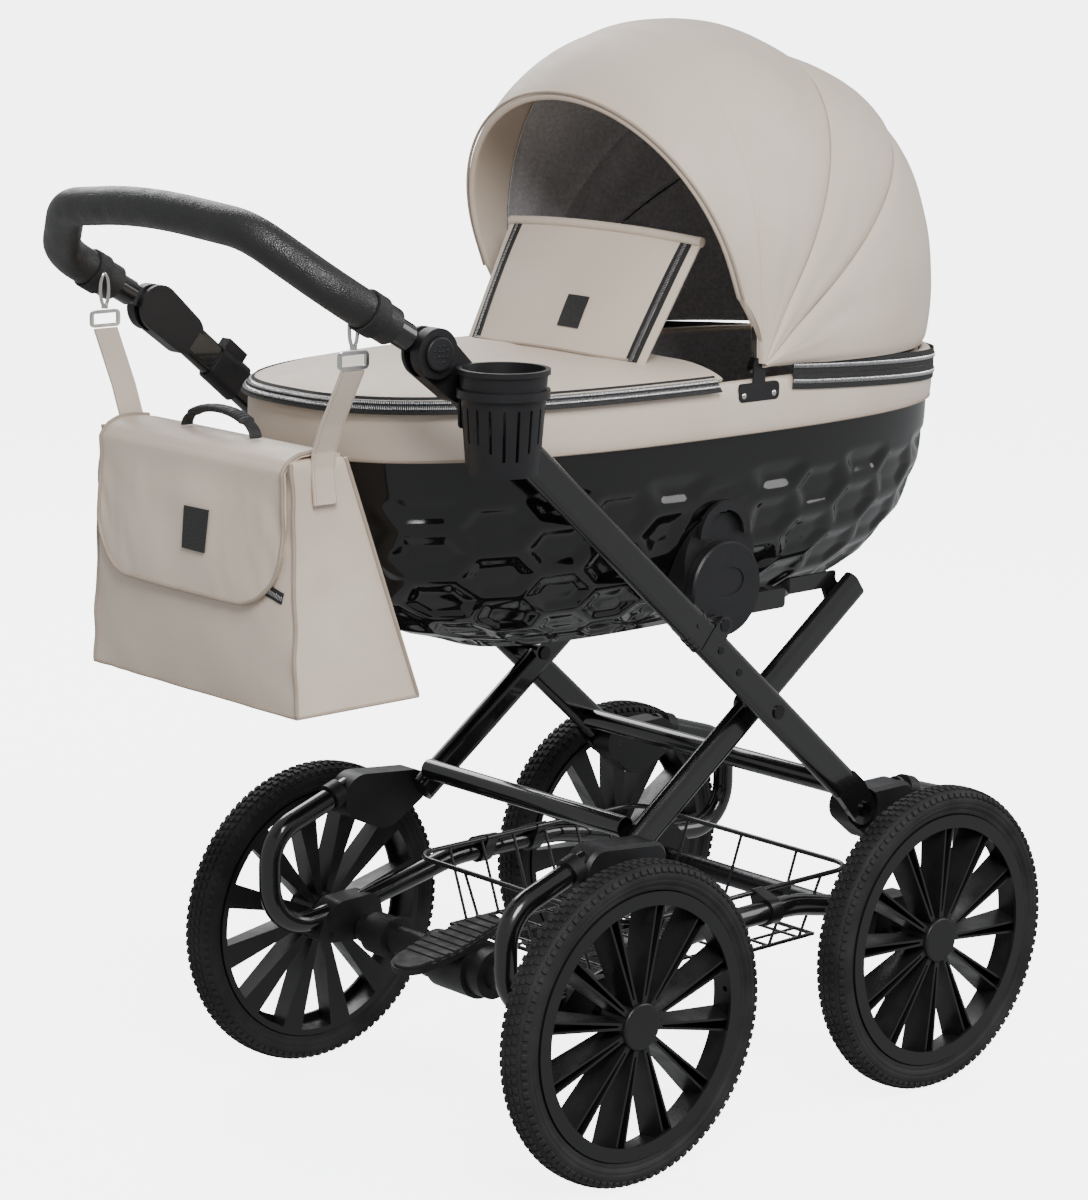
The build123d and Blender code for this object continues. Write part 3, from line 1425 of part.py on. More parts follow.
# Bag straps: from the side gussets up to the rings
gusset_lean = (bag_half_width - bag_top_half_width) / (bag_top_z - bag_bottom_z)
strap_foot = bag_half_width - gusset_lean * (strap_foot_z - bag_bottom_z) + cloth_gap
strap_waist = bag_top_half_width + cloth_gap
with BuildPart() as bag_straps:
    with BuildSketch(Plane(origin=at(hook_x, 0, 0), x_dir=(0, 1, 0), z_dir=(1, 0, 0))):
        Polygon((strap_foot, strap_foot_z), (strap_foot + strap_cloth, strap_foot_z),
                (strap_waist + strap_cloth, bag_top_z), (hook_off + strap_cloth, ring_z - ring_wire),
                (hook_off, ring_z - ring_wire), (strap_waist, bag_top_z), align=None)
    extrude(amount=strap_width / 2, both=True)
    mirror(about=middle)
bag_straps.part.label = "bag_straps"
export_step(bag_straps.part, "parts/bag_straps.step")

# D-rings between the straps and the hooks
with BuildPart() as strap_rings:
    with BuildSketch(side(hook_off)):
        with Locations((hook_x, ring_z + ring_rise)):
            RectangleRounded(strap_width + 2 * ring_wire, 2 * ring_rise, ring_corner)
            RectangleRounded(strap_width, 2 * (ring_rise - ring_wire), ring_corner - ring_wire,
                             mode=Mode.SUBTRACT)
    extrude(amount=ring_wire)
    mirror(about=middle)
strap_rings.part.label = "strap_rings"
export_step(strap_rings.part, "parts/strap_rings.step")

# Hooks and the loops that hold them on the handle grip
loop_from = tuple(a + loop_at * (b - a) for a, b in zip(bar_start, handle_corner))
loop_along = handle_run % 0
hook_foot = ring_z + 2 * ring_rise + hook_slack
with BuildPart() as bag_hooks:
    with BuildSketch(Plane(origin=at(*loop_from), z_dir=loop_along)):
        Circle(loop_r + loop_thick)
    extrude(amount=loop_width / 2, both=True)
    with BuildSketch(side(hook_off + ring_wire / 2)):
        with Locations((hook_x, (hook_foot + hook_top) / 2)):
            SlotOverall(hook_top - hook_foot, hook_wide, rotation=90)
    extrude(amount=hook_wide / 2, both=True)
    with BuildSketch(Plane(origin=at(*loop_from), z_dir=loop_along)):
        Circle(loop_r)
    extrude(amount=loop_width, both=True, mode=Mode.SUBTRACT)
    mirror(about=middle)
bag_hooks.part.label = "bag_hooks"
export_step(bag_hooks.part, "parts/bag_hooks.step")

# Brake housing: barrels clamped on the rear axle
with BuildPart() as brake_housing:
    with BuildSketch(side(0)):
        with Locations((-axle_x, wheel_r)):
            Circle(barrel_r)
    extrude(amount=barrel_half, both=True)
    with BuildSketch(side(0)):
        with Locations((-axle_x, wheel_r)):
            Circle(axle_tube_r + barrel_sleeve)
    extrude(amount=axle_tube_half - barrel_end, both=True)
    for off in (sleeve_off, -sleeve_off):
        with BuildSketch(side(off)):
            with Locations((-axle_x, wheel_r)):
                Circle(sleeve_r)
        extrude(amount=sleeve_half, both=True)
    with BuildSketch(side(0)):
        with Locations((-axle_x, wheel_r)):
            Circle(axle_tube_r + fit_gap)
    extrude(amount=axle_tube_half, both=True, mode=Mode.SUBTRACT)
brake_housing.part.label = "brake_housing"
export_step(brake_housing.part, "parts/brake_housing.step")

# Brake pedal: a shoe-shaped plate on a ring round the middle barrel
pedal_plane = Plane(origin=at(-axle_x, 0, wheel_r),
                    x_dir=(cos(radians(pedal_tilt)), 0, sin(radians(pedal_tilt))),
                    z_dir=(-sin(radians(pedal_tilt)), 0, cos(radians(pedal_tilt))))


def sole(shrink):
    """Shoe sole outline in the pedal's own plane."""
    for x, r in pedal_circles:
        with Locations((x, 0)):
            Circle(r - shrink)
    make_hull()


with BuildPart() as brake_pedal:
    with BuildSketch(side(0)):
        with Locations((-axle_x, wheel_r)):
            Circle(barrel_r + pedal_ring)
    extrude(amount=pedal_half, both=True)
    with BuildSketch(pedal_plane.offset(barrel_r)):
        sole(0)
    extrude(amount=pedal_thick)
    with BuildSketch(side(0)):
        with Locations((-axle_x, wheel_r)):
            Circle(barrel_r + run_gap)
    extrude(amount=barrel_half, both=True, mode=Mode.SUBTRACT)
brake_pedal.part.label = "brake_pedal"
export_step(brake_pedal.part, "parts/brake_pedal.step")

# Ribbed tread pad on the pedal
with BuildPart() as brake_pad:
    with BuildSketch(pedal_plane.offset(barrel_r + pedal_thick)):
        sole(pad_inset)
    extrude(amount=pad_thick)
    with BuildSketch(pedal_plane.offset(barrel_r + pedal_thick + pad_thick)):
        with GridLocations(pad_rib_pitch, 1, pad_ribs, 1):
            Rectangle(pad_rib_pitch / 2, 3 * pedal_half)
    extrude(amount=-pad_rib_depth, mode=Mode.SUBTRACT)
brake_pad.part.label = "brake_pad"
export_step(brake_pad.part, "parts/brake_pad.step")

# Wire basket hung between the side tubes
hoop_z = arch_z + hoop_rise
with BuildPart() as basket:
    with BuildLine():
        hoop = FilletPolyline(at(basket_rear, basket_top_half, hoop_z),
                              at(basket_front, basket_top_half, hoop_z),
                              at(basket_front, -basket_top_half, hoop_z),
                              at(basket_rear, -basket_top_half, hoop_z),
                              radius=basket_corner, close=True)
    with BuildSketch(Plane(origin=hoop @ 0, z_dir=hoop % 0)):
        Circle(hoop_r)
    sweep(path=hoop)
    with BuildSketch(level(basket_floor_z)):
        with Locations(((basket_rear + basket_front) / 2, 0)):
            Rectangle(basket_front - basket_rear - 2 * basket_slope, 2 * basket_half)
            Rectangle(basket_front - basket_rear - 2 * basket_slope - 4 * wire_r,
                      2 * basket_half - 4 * wire_r,
                      mode=Mode.SUBTRACT)
    extrude(amount=2 * wire_r)
    for i in range(basket_wires_along):
        y = basket_half * (2 * i / (basket_wires_along - 1) - 1) * basket_fill
        wire_from = at(basket_rear + basket_slope, y, basket_floor_z + wire_r)
        with BuildSketch(Plane(origin=wire_from, z_dir=(1, 0, 0))):
            Circle(wire_r)
        extrude(amount=basket_front - basket_rear - 2 * basket_slope)
    for i in range(basket_wires_across):
        floor_length = basket_front - basket_rear - 2 * basket_slope
        x = basket_rear + basket_slope + floor_length * (i + 0.5) / basket_wires_across
        with BuildSketch(Plane(origin=at(x, -basket_half, basket_floor_z + wire_r), z_dir=(0, -1, 0))):
            Circle(wire_r)
        extrude(amount=2 * basket_half)
        for sign in (1, -1):
            foot = at(x, sign * (basket_half - wire_r), basket_floor_z + wire_r)
            head = at(x, sign * basket_top_half, hoop_z)
            with BuildSketch(Plane(origin=foot, z_dir=head - foot)):
                Circle(wire_r)
            extrude(amount=(head - foot).length)
    for y in (-basket_end_off, 0, basket_end_off):
        for rim_x, floor_x in ((basket_rear, basket_rear + basket_slope),
                           (basket_front, basket_front - basket_slope)):
            foot = at(floor_x, y, basket_floor_z + wire_r)
            head = at(rim_x, y, hoop_z)
            with BuildSketch(Plane(origin=foot, z_dir=head - foot)):
                Circle(wire_r)
            extrude(amount=(head - foot).length)
    for x in (-basket_clamp_x, basket_clamp_x):
        for sign in (1, -1):
            with BuildSketch(Plane(origin=at(x, 0, 0), x_dir=(0, 1, 0), z_dir=(1, 0, 0))):
                with Locations((sign * side_tube_off, arch_z)):
                    Circle(side_tube_r + fit_gap + basket_clamp_wall)
                with Locations((sign * basket_top_half, hoop_z)):
                    Circle(hoop_r + basket_clamp_wall / 2)
                make_hull()
                with Locations((sign * side_tube_off, arch_z)):
                    Circle(side_tube_r + fit_gap, mode=Mode.SUBTRACT)
            extrude(amount=basket_clamp_wide / 2, both=True)
basket.part.label = "basket"
export_step(basket.part, "parts/basket.step")
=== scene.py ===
from math import cos, exp, pi, radians, sin

import bmesh
import bpy
from mathutils import Matrix, Quaternion, Vector, noise


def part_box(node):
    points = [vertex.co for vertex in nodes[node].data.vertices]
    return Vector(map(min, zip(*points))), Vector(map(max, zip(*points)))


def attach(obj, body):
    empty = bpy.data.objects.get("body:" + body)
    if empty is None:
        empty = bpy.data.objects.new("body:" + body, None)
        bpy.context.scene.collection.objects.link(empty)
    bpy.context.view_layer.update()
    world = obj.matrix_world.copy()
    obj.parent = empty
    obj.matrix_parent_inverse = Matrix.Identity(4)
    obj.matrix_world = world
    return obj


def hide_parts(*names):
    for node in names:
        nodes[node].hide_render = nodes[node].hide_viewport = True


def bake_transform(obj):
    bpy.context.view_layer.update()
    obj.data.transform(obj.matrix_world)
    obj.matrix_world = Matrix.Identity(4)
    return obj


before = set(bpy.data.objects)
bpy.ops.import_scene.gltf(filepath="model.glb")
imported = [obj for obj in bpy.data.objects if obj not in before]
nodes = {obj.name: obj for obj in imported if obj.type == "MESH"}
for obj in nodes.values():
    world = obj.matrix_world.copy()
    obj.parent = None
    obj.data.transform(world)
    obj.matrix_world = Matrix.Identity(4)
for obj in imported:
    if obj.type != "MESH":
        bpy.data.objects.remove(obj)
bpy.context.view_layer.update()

scene = bpy.context.scene

# The pram stands on a pale studio floor under large soft lamps, and is seen from the handle end and the side of the
# cup holder.
camera_at = Vector((-2.50085, -2.70324, 1.34125))
camera_to = Vector((0.00617, 0.0195, 0.57567))
camera_roll = 0.82
camera_lens = 102.2
floor_half = 70.0
floor_white = (0.86, 0.86, 0.87)

camera = bpy.data.objects.new("camera", bpy.data.cameras.new("camera"))
scene.collection.objects.link(camera)
camera.location = camera_at
turn = (camera_to - camera_at).to_track_quat("-Z", "Y") @ Quaternion((0, 0, 1), radians(camera_roll))
camera.rotation_euler = turn.to_euler()
camera.data.lens = camera_lens
scene.camera = camera


def new_material(name, colour, roughness, metallic=0.0, coat=0.0, sheen=0.0, specular=0.5):
    made = bpy.data.materials.new(name)
    made.use_nodes = True
    shader = made.node_tree.nodes["Principled BSDF"]
    shader.inputs["Base Color"].default_value = (*colour, 1.0)
    shader.inputs["Roughness"].default_value = roughness
    shader.inputs["Metallic"].default_value = metallic
    shader.inputs["Coat Weight"].default_value = coat
    shader.inputs["Coat Roughness"].default_value = 0.05
    shader.inputs["Sheen Weight"].default_value = sheen
    shader.inputs["Specular IOR Level"].default_value = specular
    made.diffuse_color = (*colour, 1.0)
    return made


def pattern(made, kind, scale, **facts):
    """A texture node on the piece's object coordinates."""
    tree = made.node_tree
    place = tree.nodes.new("ShaderNodeTexCoord")
    texture = tree.nodes.new(kind)
    for name, value in facts.items():
        setattr(texture, name, value)
    texture.inputs["Scale"].default_value = scale
    tree.links.new(place.outputs["Object"], texture.inputs["Vector"])
    return texture


def shade(made, source, socket, low, high):
    """Drives a shader socket from a pattern: low and high are colours or numbers."""
    tree = made.node_tree
    shader = tree.nodes["Principled BSDF"]
    if isinstance(low, tuple):
        ramp = tree.nodes.new("ShaderNodeValToRGB")
        ramp.color_ramp.elements[0].color = (*low, 1.0)
        ramp.color_ramp.elements[1].color = (*high, 1.0)
        ramp.color_ramp.elements[0].position = 0.3
        ramp.color_ramp.elements[1].position = 0.7
        tree.links.new(source, ramp.inputs["Fac"])
        tree.links.new(ramp.outputs["Color"], shader.inputs[socket])
        return
    spread = tree.nodes.new("ShaderNodeMapRange")
    spread.inputs["From Min"].default_value = 0.3
    spread.inputs["From Max"].default_value = 0.7
    spread.inputs["To Min"].default_value = low
    spread.inputs["To Max"].default_value = high
    tree.links.new(source, spread.inputs["Value"])
    tree.links.new(spread.outputs["Result"], shader.inputs[socket])


def emboss(made, source, distance, strength=1.0):
    """Adds a relief to the surface, after any relief that it has already."""
    tree = made.node_tree
    shader = tree.nodes["Principled BSDF"]
    relief = tree.nodes.new("ShaderNodeBump")
    relief.inputs["Distance"].default_value = distance
    relief.inputs["Strength"].default_value = strength
    tree.links.new(source, relief.inputs["Height"])
    if shader.inputs["Normal"].is_linked:
        tree.links.new(shader.inputs["Normal"].links[0].from_socket, relief.inputs["Normal"])
    tree.links.new(relief.outputs["Normal"], shader.inputs["Normal"])


floor_paint = new_material("floor_paint", floor_white, 0.55)
shade(floor_paint, pattern(floor_paint, "ShaderNodeTexNoise", 3.0).outputs["Fac"], "Base Color",
      tuple(0.97 * c for c in floor_white), floor_white)
floor_shader = floor_paint.node_tree.nodes["Principled BSDF"]
floor_shader.inputs["Emission Color"].default_value = (0.96, 0.97, 1.0, 1.0)
floor_shader.inputs["Emission Strength"].default_value = 5.0
floor_mesh = bpy.data.meshes.new("floor")
floor_mesh.from_pydata([(x * floor_half, y * floor_half, 0) for x, y in ((-1, -1), (1, -1), (1, 1), (-1, 1))],
                       [], [(0, 1, 2, 3)])
floor_mesh.materials.append(floor_paint)
floor = bpy.data.objects.new("floor", floor_mesh)
scene.collection.objects.link(floor)
floor.visible_diffuse = False
floor.visible_glossy = False

world = bpy.data.worlds.new("studio")
world.use_nodes = True
world.node_tree.nodes["Background"].inputs["Color"].default_value = (0.97, 0.98, 1.0, 1.0)
world.node_tree.nodes["Background"].inputs["Strength"].default_value = 0.5
scene.world = world

lamps = [("key_lamp", (-1.6, -2.6, 3.2), 1.8, 150.0), ("fill_lamp", (2.8, -2.2, 2.2), 2.4, 52.0),
         ("rear_lamp", (1.2, 3.0, 2.8), 2.4, 75.0)]
for name, where, size, power in lamps:
    lamp = bpy.data.lights.new(name, "AREA")
    lamp.shape = "DISK"
    lamp.size = size
    lamp.energy = power
    holder = bpy.data.objects.new(name, lamp)
    holder.location = where
    holder.rotation_euler = (Vector((0.0, 0.0, 0.6)) - Vector(where)).to_track_quat("-Z", "Y").to_euler()
    scene.collection.objects.link(holder)


# The chassis is steel tube in gloss black paint, with black axle brackets and rods. Its gloss varies a little, over a
# faint fine relief.
tube_black = new_material("tube_black", (0.006, 0.006, 0.006), 0.16, coat=0.6)
shade(tube_black, pattern(tube_black, "ShaderNodeTexNoise", 26.0).outputs["Fac"], "Roughness", 0.12, 0.24)
emboss(tube_black, pattern(tube_black, "ShaderNodeTexNoise", 420.0).outputs["Fac"], 0.00004)

plastic_black = new_material("plastic_black", (0.010, 0.010, 0.011), 0.42, specular=0.35)
shade(plastic_black, pattern(plastic_black, "ShaderNodeTexNoise", 34.0).outputs["Fac"], "Roughness", 0.34, 0.5)
emboss(plastic_black, pattern(plastic_black, "ShaderNodeTexNoise", 1400.0).outputs["Fac"], 0.00012)

bolt_steel = new_material("bolt_steel", (0.05, 0.05, 0.052), 0.32, metallic=1.0)
shade(bolt_steel, pattern(bolt_steel, "ShaderNodeTexNoise", 180.0).outputs["Fac"], "Roughness", 0.24, 0.42)

wire_black = new_material("wire_black", (0.008, 0.008, 0.008), 0.3, coat=0.3)
shade(wire_black, pattern(wire_black, "ShaderNodeTexNoise", 90.0).outputs["Fac"], "Roughness", 0.24, 0.4)

chrome = new_material("chrome", (0.72, 0.71, 0.69), 0.16, metallic=1.0)
shade(chrome, pattern(chrome, "ShaderNodeTexNoise", 120.0).outputs["Fac"], "Roughness", 0.1, 0.24)


def dress(finish, *names):
    """Gives CAD nodes a finish."""
    for name in names:
        data = nodes[name].data
        if not data.materials:
            data.materials.append(finish)
        for i in range(len(data.materials)):
            data.materials[i] = finish


dress(tube_black, "side_tube_right", "side_tube_left", "front_legs", "front_brace", "rear_legs", "push_arm_right",
      "push_arm_left", "seat_bars", "handle_bar", "bow_rear", "bow_middle", "bow_front")
dress(plastic_black, "front_spring_blocks", "rear_spring_blocks", "axle_brackets", "brake_housing", "adapters",
      "handle_joint_housings", "lock_collars", "cup_clip", "cup_holder", "cot_receivers", "hood_brackets",
      "release_handles", "brake_pedal", "button_right", "button_left")
dress(bolt_steel, "front_axle", "rear_axle", "chassis_bolts", "leg_bolts")
dress(wire_black, "basket")


def place(x, off, z):
    """A point of the frame from millimetres: x from midway between the axles, off towards the near side."""
    return Vector((x + 132.0, 19.5 - off, z)) / 1000.0


def make_piece(name, points, faces, finish, smooth=40.0):
    """A mesh piece whose faces are smooth up to an edge angle in degrees."""
    mesh = bpy.data.meshes.new(name)
    mesh.from_pydata([tuple(p) for p in points], [], faces)
    mesh.materials.append(finish)
    mesh.validate()
    piece = bpy.data.objects.new(name, mesh)
    scene.collection.objects.link(piece)
    smooth_faces(mesh, smooth)
    return piece


def smooth_faces(mesh, angle):
    mesh.polygons.foreach_set("use_smooth", [True] * len(mesh.polygons))
    mesh.set_sharp_from_angle(angle=radians(angle))
    mesh.update()


def grid_piece(name, rows, finish, around=False, smooth=40.0, flip=False):
    """A piece from rows of points, each row as long as the others; around closes each row."""
    wide = len(rows[0])
    faces = []
    for i in range(len(rows) - 1):
        for j in range(wide if around else wide - 1):
            k = (j + 1) % wide
            face = (i * wide + j, i * wide + k, (i + 1) * wide + k, (i + 1) * wide + j)
            faces.append(face[::-1] if flip else face)
    return make_piece(name, [p for row in rows for p in row], faces, finish, smooth)


def settle(piece, smooth=None):
    """Applies the piece's modifiers."""
    bpy.context.view_layer.update()
    graph = bpy.context.evaluated_depsgraph_get()
    made = bpy.data.meshes.new_from_object(piece.evaluated_get(graph))
    piece.modifiers.clear()
    piece.data = made
    if smooth:
        smooth_faces(made, smooth)
    return piece


def thicken(piece, wall, smooth=40.0):
    """Gives a sheet its thickness, inwards from its faces."""
    shell = piece.modifiers.new("wall", "SOLIDIFY")
    shell.thickness = wall
    shell.offset = -1.0
    shell.use_even_offset = True
    return settle(piece, smooth)


def joined(name, pieces):
    """Several pieces as one, with all their finishes."""
    first = pieces[0]
    with bpy.context.temp_override(active_object=first, selected_editable_objects=pieces, object=first):
        bpy.ops.object.join()
    first.name = name
    first.data.name = name
    return first


def cord_round(name, points, radius, finish, closed=False, sides=3):
    """A round bead or wire along points."""
    curve = bpy.data.curves.new(name, "CURVE")
    curve.dimensions = "3D"
    curve.bevel_depth = radius
    curve.bevel_resolution = sides
    curve.use_fill_caps = True
    line = curve.splines.new("POLY")
    line.points.add(len(points) - 1)
    for spot, p in zip(line.points, points):
        spot.co = (*p, 1.0)
    line.use_cyclic_u = closed
    holder = bpy.data.objects.new(name, curve)
    scene.collection.objects.link(holder)
    bpy.context.view_layer.update()
    graph = bpy.context.evaluated_depsgraph_get()
    mesh = bpy.data.meshes.new_from_object(holder.evaluated_get(graph))
    bpy.data.objects.remove(holder)
    mesh.materials.clear()
    mesh.materials.append(finish)
    smooth_faces(mesh, 50.0)
    piece = bpy.data.objects.new(name, mesh)
    scene.collection.objects.link(piece)
    return piece


def block(name, size, edge, segments=1):
    """A small block with rounded edges, centred on its middle, as the unit of a repeated piece."""
    mesh = bpy.data.meshes.new(name)
    work = bmesh.new()
    bmesh.ops.create_cube(work, size=1.0)
    bmesh.ops.scale(work, vec=Vector(size), verts=work.verts)
    bmesh.ops.bevel(work, geom=work.edges[:], offset=edge, segments=segments, affect="EDGES")
    work.to_mesh(mesh)
    work.free()
    smooth_faces(mesh, 50.0)
    return bpy.data.objects.new(name, mesh)


def dome(name, radius, rise, sides=16, rings=4):
    """A low round-headed button, its foot at the origin, as the unit of a repeated piece."""
    mesh = bpy.data.meshes.new(name)
    points = []
    for i in range(rings):
        a = pi / 2 * i / rings
        for j in range(sides):
            t = 2 * pi * j / sides
            points.append((radius * cos(a) * cos(t), radius * cos(a) * sin(t), rise * sin(a)))
    points.append((0, 0, rise))
    faces = [(i * sides + j, i * sides + (j + 1) % sides, (i + 1) * sides + (j + 1) % sides, (i + 1) * sides + j)
             for i in range(rings - 1) for j in range(sides)]
    faces += [((rings - 1) * sides + j, (rings - 1) * sides + (j + 1) % sides, rings * sides) for j in range(sides)]
    faces.append(tuple(range(sides))[::-1])
    mesh.from_pydata(points, [], faces)
    smooth_faces(mesh, 50.0)
    return bpy.data.objects.new(name, mesh)


def make_repeat_tree():
    """Copies of a unit at the points, its X along the attribute aim and its Z along the attribute up."""
    tree = bpy.data.node_groups.new("repeat_unit", "GeometryNodeTree")
    tree.interface.new_socket("Points", in_out="INPUT", socket_type="NodeSocketGeometry")
    tree.interface.new_socket("Unit", in_out="INPUT", socket_type="NodeSocketObject")
    tree.interface.new_socket("Finish", in_out="INPUT", socket_type="NodeSocketMaterial")
    tree.interface.new_socket("Pieces", in_out="OUTPUT", socket_type="NodeSocketGeometry")
    given = tree.nodes.new("NodeGroupInput")
    result = tree.nodes.new("NodeGroupOutput")
    unit = tree.nodes.new("GeometryNodeObjectInfo")
    spread = tree.nodes.new("GeometryNodeInstanceOnPoints")
    turned = tree.nodes.new("FunctionNodeAxesToRotation")
    turned.primary_axis = "Z"
    turned.secondary_axis = "X"
    real = tree.nodes.new("GeometryNodeRealizeInstances")
    painted = tree.nodes.new("GeometryNodeSetMaterial")
    for attribute, socket in (("up", "Primary Axis"), ("aim", "Secondary Axis")):
        read = tree.nodes.new("GeometryNodeInputNamedAttribute")
        read.data_type = "FLOAT_VECTOR"
        read.inputs["Name"].default_value = attribute
        tree.links.new(read.outputs["Attribute"], turned.inputs[socket])
    tree.links.new(given.outputs["Points"], spread.inputs["Points"])
    tree.links.new(given.outputs["Unit"], unit.inputs["Object"])
    tree.links.new(unit.outputs["Geometry"], spread.inputs["Instance"])
    tree.links.new(turned.outputs["Rotation"], spread.inputs["Rotation"])
    tree.links.new(spread.outputs["Instances"], real.inputs["Geometry"])
    tree.links.new(real.outputs["Geometry"], painted.inputs["Geometry"])
    tree.links.new(given.outputs["Finish"], painted.inputs["Material"])
    tree.links.new(painted.outputs["Geometry"], result.inputs["Pieces"])
    return tree


repeat_tree = make_repeat_tree()


def repeated(name, unit, spots, finish):
    """One piece of copies of unit. Each spot is a point, the way the copy runs and the way it faces."""
    mesh = bpy.data.meshes.new(name)
    mesh.from_pydata([tuple(p) for p, aim, up in spots], [], [])
    for label, index in (("aim", 1), ("up", 2)):
        attribute = mesh.attributes.new(label, "FLOAT_VECTOR", "POINT")
        for i, spot in enumerate(spots):
            attribute.data[i].vector = spot[index]
    piece = bpy.data.objects.new(name, mesh)
    scene.collection.objects.link(piece)
    spread = piece.modifiers.new("repeat", "NODES")
    spread.node_group = repeat_tree
    sockets = {s.name: s.identifier for s in repeat_tree.interface.items_tree if s.in_out == "INPUT"}
    spread[sockets["Unit"]] = unit
    spread[sockets["Finish"]] = finish
    settle(piece)
    bpy.data.objects.remove(unit)
    return piece


def evenly(line, pitch, closed=False):
    """Points every pitch along a line, each with the line's direction there and its place on the line."""
    run = list(line) + ([line[0]] if closed else [])
    found = []
    gone = 0.0
    due = pitch / 2
    for i in range(len(run) - 1):
        a, b = Vector(run[i]), Vector(run[i + 1])
        long = (b - a).length
        while long > 0 and due <= gone + long:
            share = (due - gone) / long
            found.append((a.lerp(b, share), (b - a).normalized(), i + share))
            due += pitch
        gone += long
    return found


# Wheels: black moulded rims with twelve spokes, and rubber tyres with a knobbly shoulder, a
# blocked tread and fine rings on the sidewalls. The rims and caps are the CAD nodes.
wheel_r = 177.5
tyre_shape = [(146.6, -13.5), (147.5, -15.0), (151.0, -16.4), (152.5, -16.2), (154.0, -17.2), (156.0, -18.6),
              (158.0, -19.0), (159.0, -18.6), (160.0, -19.3), (163.0, -19.4), (166.0, -18.6), (169.0, -17.2),
              (171.6, -15.0), (173.6, -12.0), (174.8, -8.0), (175.4, -4.0), (175.6, 0.0)]
tyre_steps = 144
knob_count = 104
tyre_rubber = new_material("tyre_rubber", (0.018, 0.018, 0.018), 0.62, specular=0.25)
shade(tyre_rubber, pattern(tyre_rubber, "ShaderNodeTexNoise", 22.0).outputs["Fac"], "Base Color",
      (0.012, 0.012, 0.012), (0.026, 0.026, 0.025))
emboss(tyre_rubber, pattern(tyre_rubber, "ShaderNodeTexNoise", 900.0).outputs["Fac"], 0.0002)
rim_black = new_material("rim_black", (0.010, 0.010, 0.010), 0.34, specular=0.4)
shade(rim_black, pattern(rim_black, "ShaderNodeTexNoise", 40.0).outputs["Fac"], "Roughness", 0.26, 0.44)
emboss(rim_black, pattern(rim_black, "ShaderNodeTexNoise", 1100.0).outputs["Fac"], 0.00008)

section = tyre_shape + [(r, -w) for r, w in tyre_shape[-2::-1]]
tyre_rows = []
for i in range(tyre_steps):
    t = 2 * pi * i / tyre_steps
    tyre_rows.append([Vector((r * cos(t), w, r * sin(t))) / 1000 for r, w in section])
tyre = grid_piece("tyre_form", tyre_rows + [tyre_rows[0]], tyre_rubber, around=True, smooth=35.0)
tread = []
for i in range(knob_count):
    for r, w, shift, tilt in ((169.5, 17.3, 0.0, 0.62), (169.5, -17.3, 0.5, -0.62), (174.9, 7.5, 0.5, 0.1),
                              (174.9, -7.5, 0.0, -0.1), (175.4, 0.0, 0.25, 0.0)):
        t = 2 * pi * (i + shift) / knob_count
        out = Vector((cos(t), 0, sin(t)))
        along = Vector((-sin(t), 0, cos(t)))
        facing = (out * cos(tilt * 1.5) + Vector((0, 1, 0)) * sin(tilt * 1.5)).normalized()
        tread.append(((out * r + Vector((0, w, 0))) / 1000, along, facing))
knobs = repeated("tyre_knobs", block("knob", (0.0066, 0.0062, 0.0034), 0.0007), tread, tyre_rubber)
tyre = joined("tyre_form", [tyre, knobs])
work = bmesh.new()
work.from_mesh(tyre.data)
bmesh.ops.remove_doubles(work, verts=work.verts, dist=1e-6)
bmesh.ops.recalc_face_normals(work, faces=work.faces)
work.to_mesh(tyre.data)
work.free()
smooth_faces(tyre.data, 35.0)
for end, far in (("rear_right", "rear"), ("front_right", "front"), ("rear_left", "rear"), ("front_left", "front")):
    low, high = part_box("tyre_" + end)
    made = bpy.data.objects.new("tyre_skin_" + end, tyre.data.copy())
    made.data.transform(Matrix.Translation((low + high) / 2))
    scene.collection.objects.link(made)
    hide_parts("tyre_" + end)
    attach(made, "wheel_" + ("front" if far == "front" else "rear") + ("_right" if "right" in end else "_left"))
bpy.data.objects.remove(tyre)
for end in ("rear_right", "front_right", "rear_left", "front_left"):
    dress(rim_black, "rim_" + end, "hub_cap_" + end)


# The carrycot's shell is one vacuum-formed tub in gloss black, pressed all over into shallow
# six-sided dishes, with a plain arch beside each adapter.
cot_x = -35.0
cot_power = 2.7
shell_levels = [(778.0, 446.0, 200.0), (740.0, 446.0, 197.0), (690.0, 438.0, 189.0), (640.0, 414.0, 172.0),
                (595.0, 366.0, 146.0), (562.0, 292.0, 109.0), (546.0, 195.0, 64.0)]
arch_x = -43.0
arch_z = 669.0
arch_r = 53.0
recess_off = 191.5
shell_steps = 500
shell_rows = 96
cell_wide = 108.0
cell_high = 58.0
cell_rim = 17.0
cell_ridge = 2.0
cell_depth = 6.0
cell_flank = ((cell_high / 2) ** 2 + (cell_wide / 4) ** 2) ** 0.5

shell_black = new_material("shell_black", (0.004, 0.004, 0.004), 0.07, specular=0.6)
shade(shell_black, pattern(shell_black, "ShaderNodeTexNoise", 12.0).outputs["Fac"], "Roughness", 0.05, 0.12)


def egg(half_length, half_width, t, power=cot_power):
    """Place in plan on the carrycot's outline, at the angle t from the hood end, near side first."""
    ux = abs(cos(t)) ** (2 / power) * (1 if cos(t) > 0 else -1)
    uy = abs(sin(t)) ** (2 / power) * (1 if sin(t) > 0 else -1)
    return cot_x + half_length * ux, half_width * uy


def shell_half(z):
    for (z1, a1, b1), (z0, a0, b0) in zip(shell_levels, shell_levels[1:]):
        if z >= z0:
            break
    k = (z - z0) / (z1 - z0)
    return a0 + k * (a1 - a0), b0 + k * (b1 - b0)


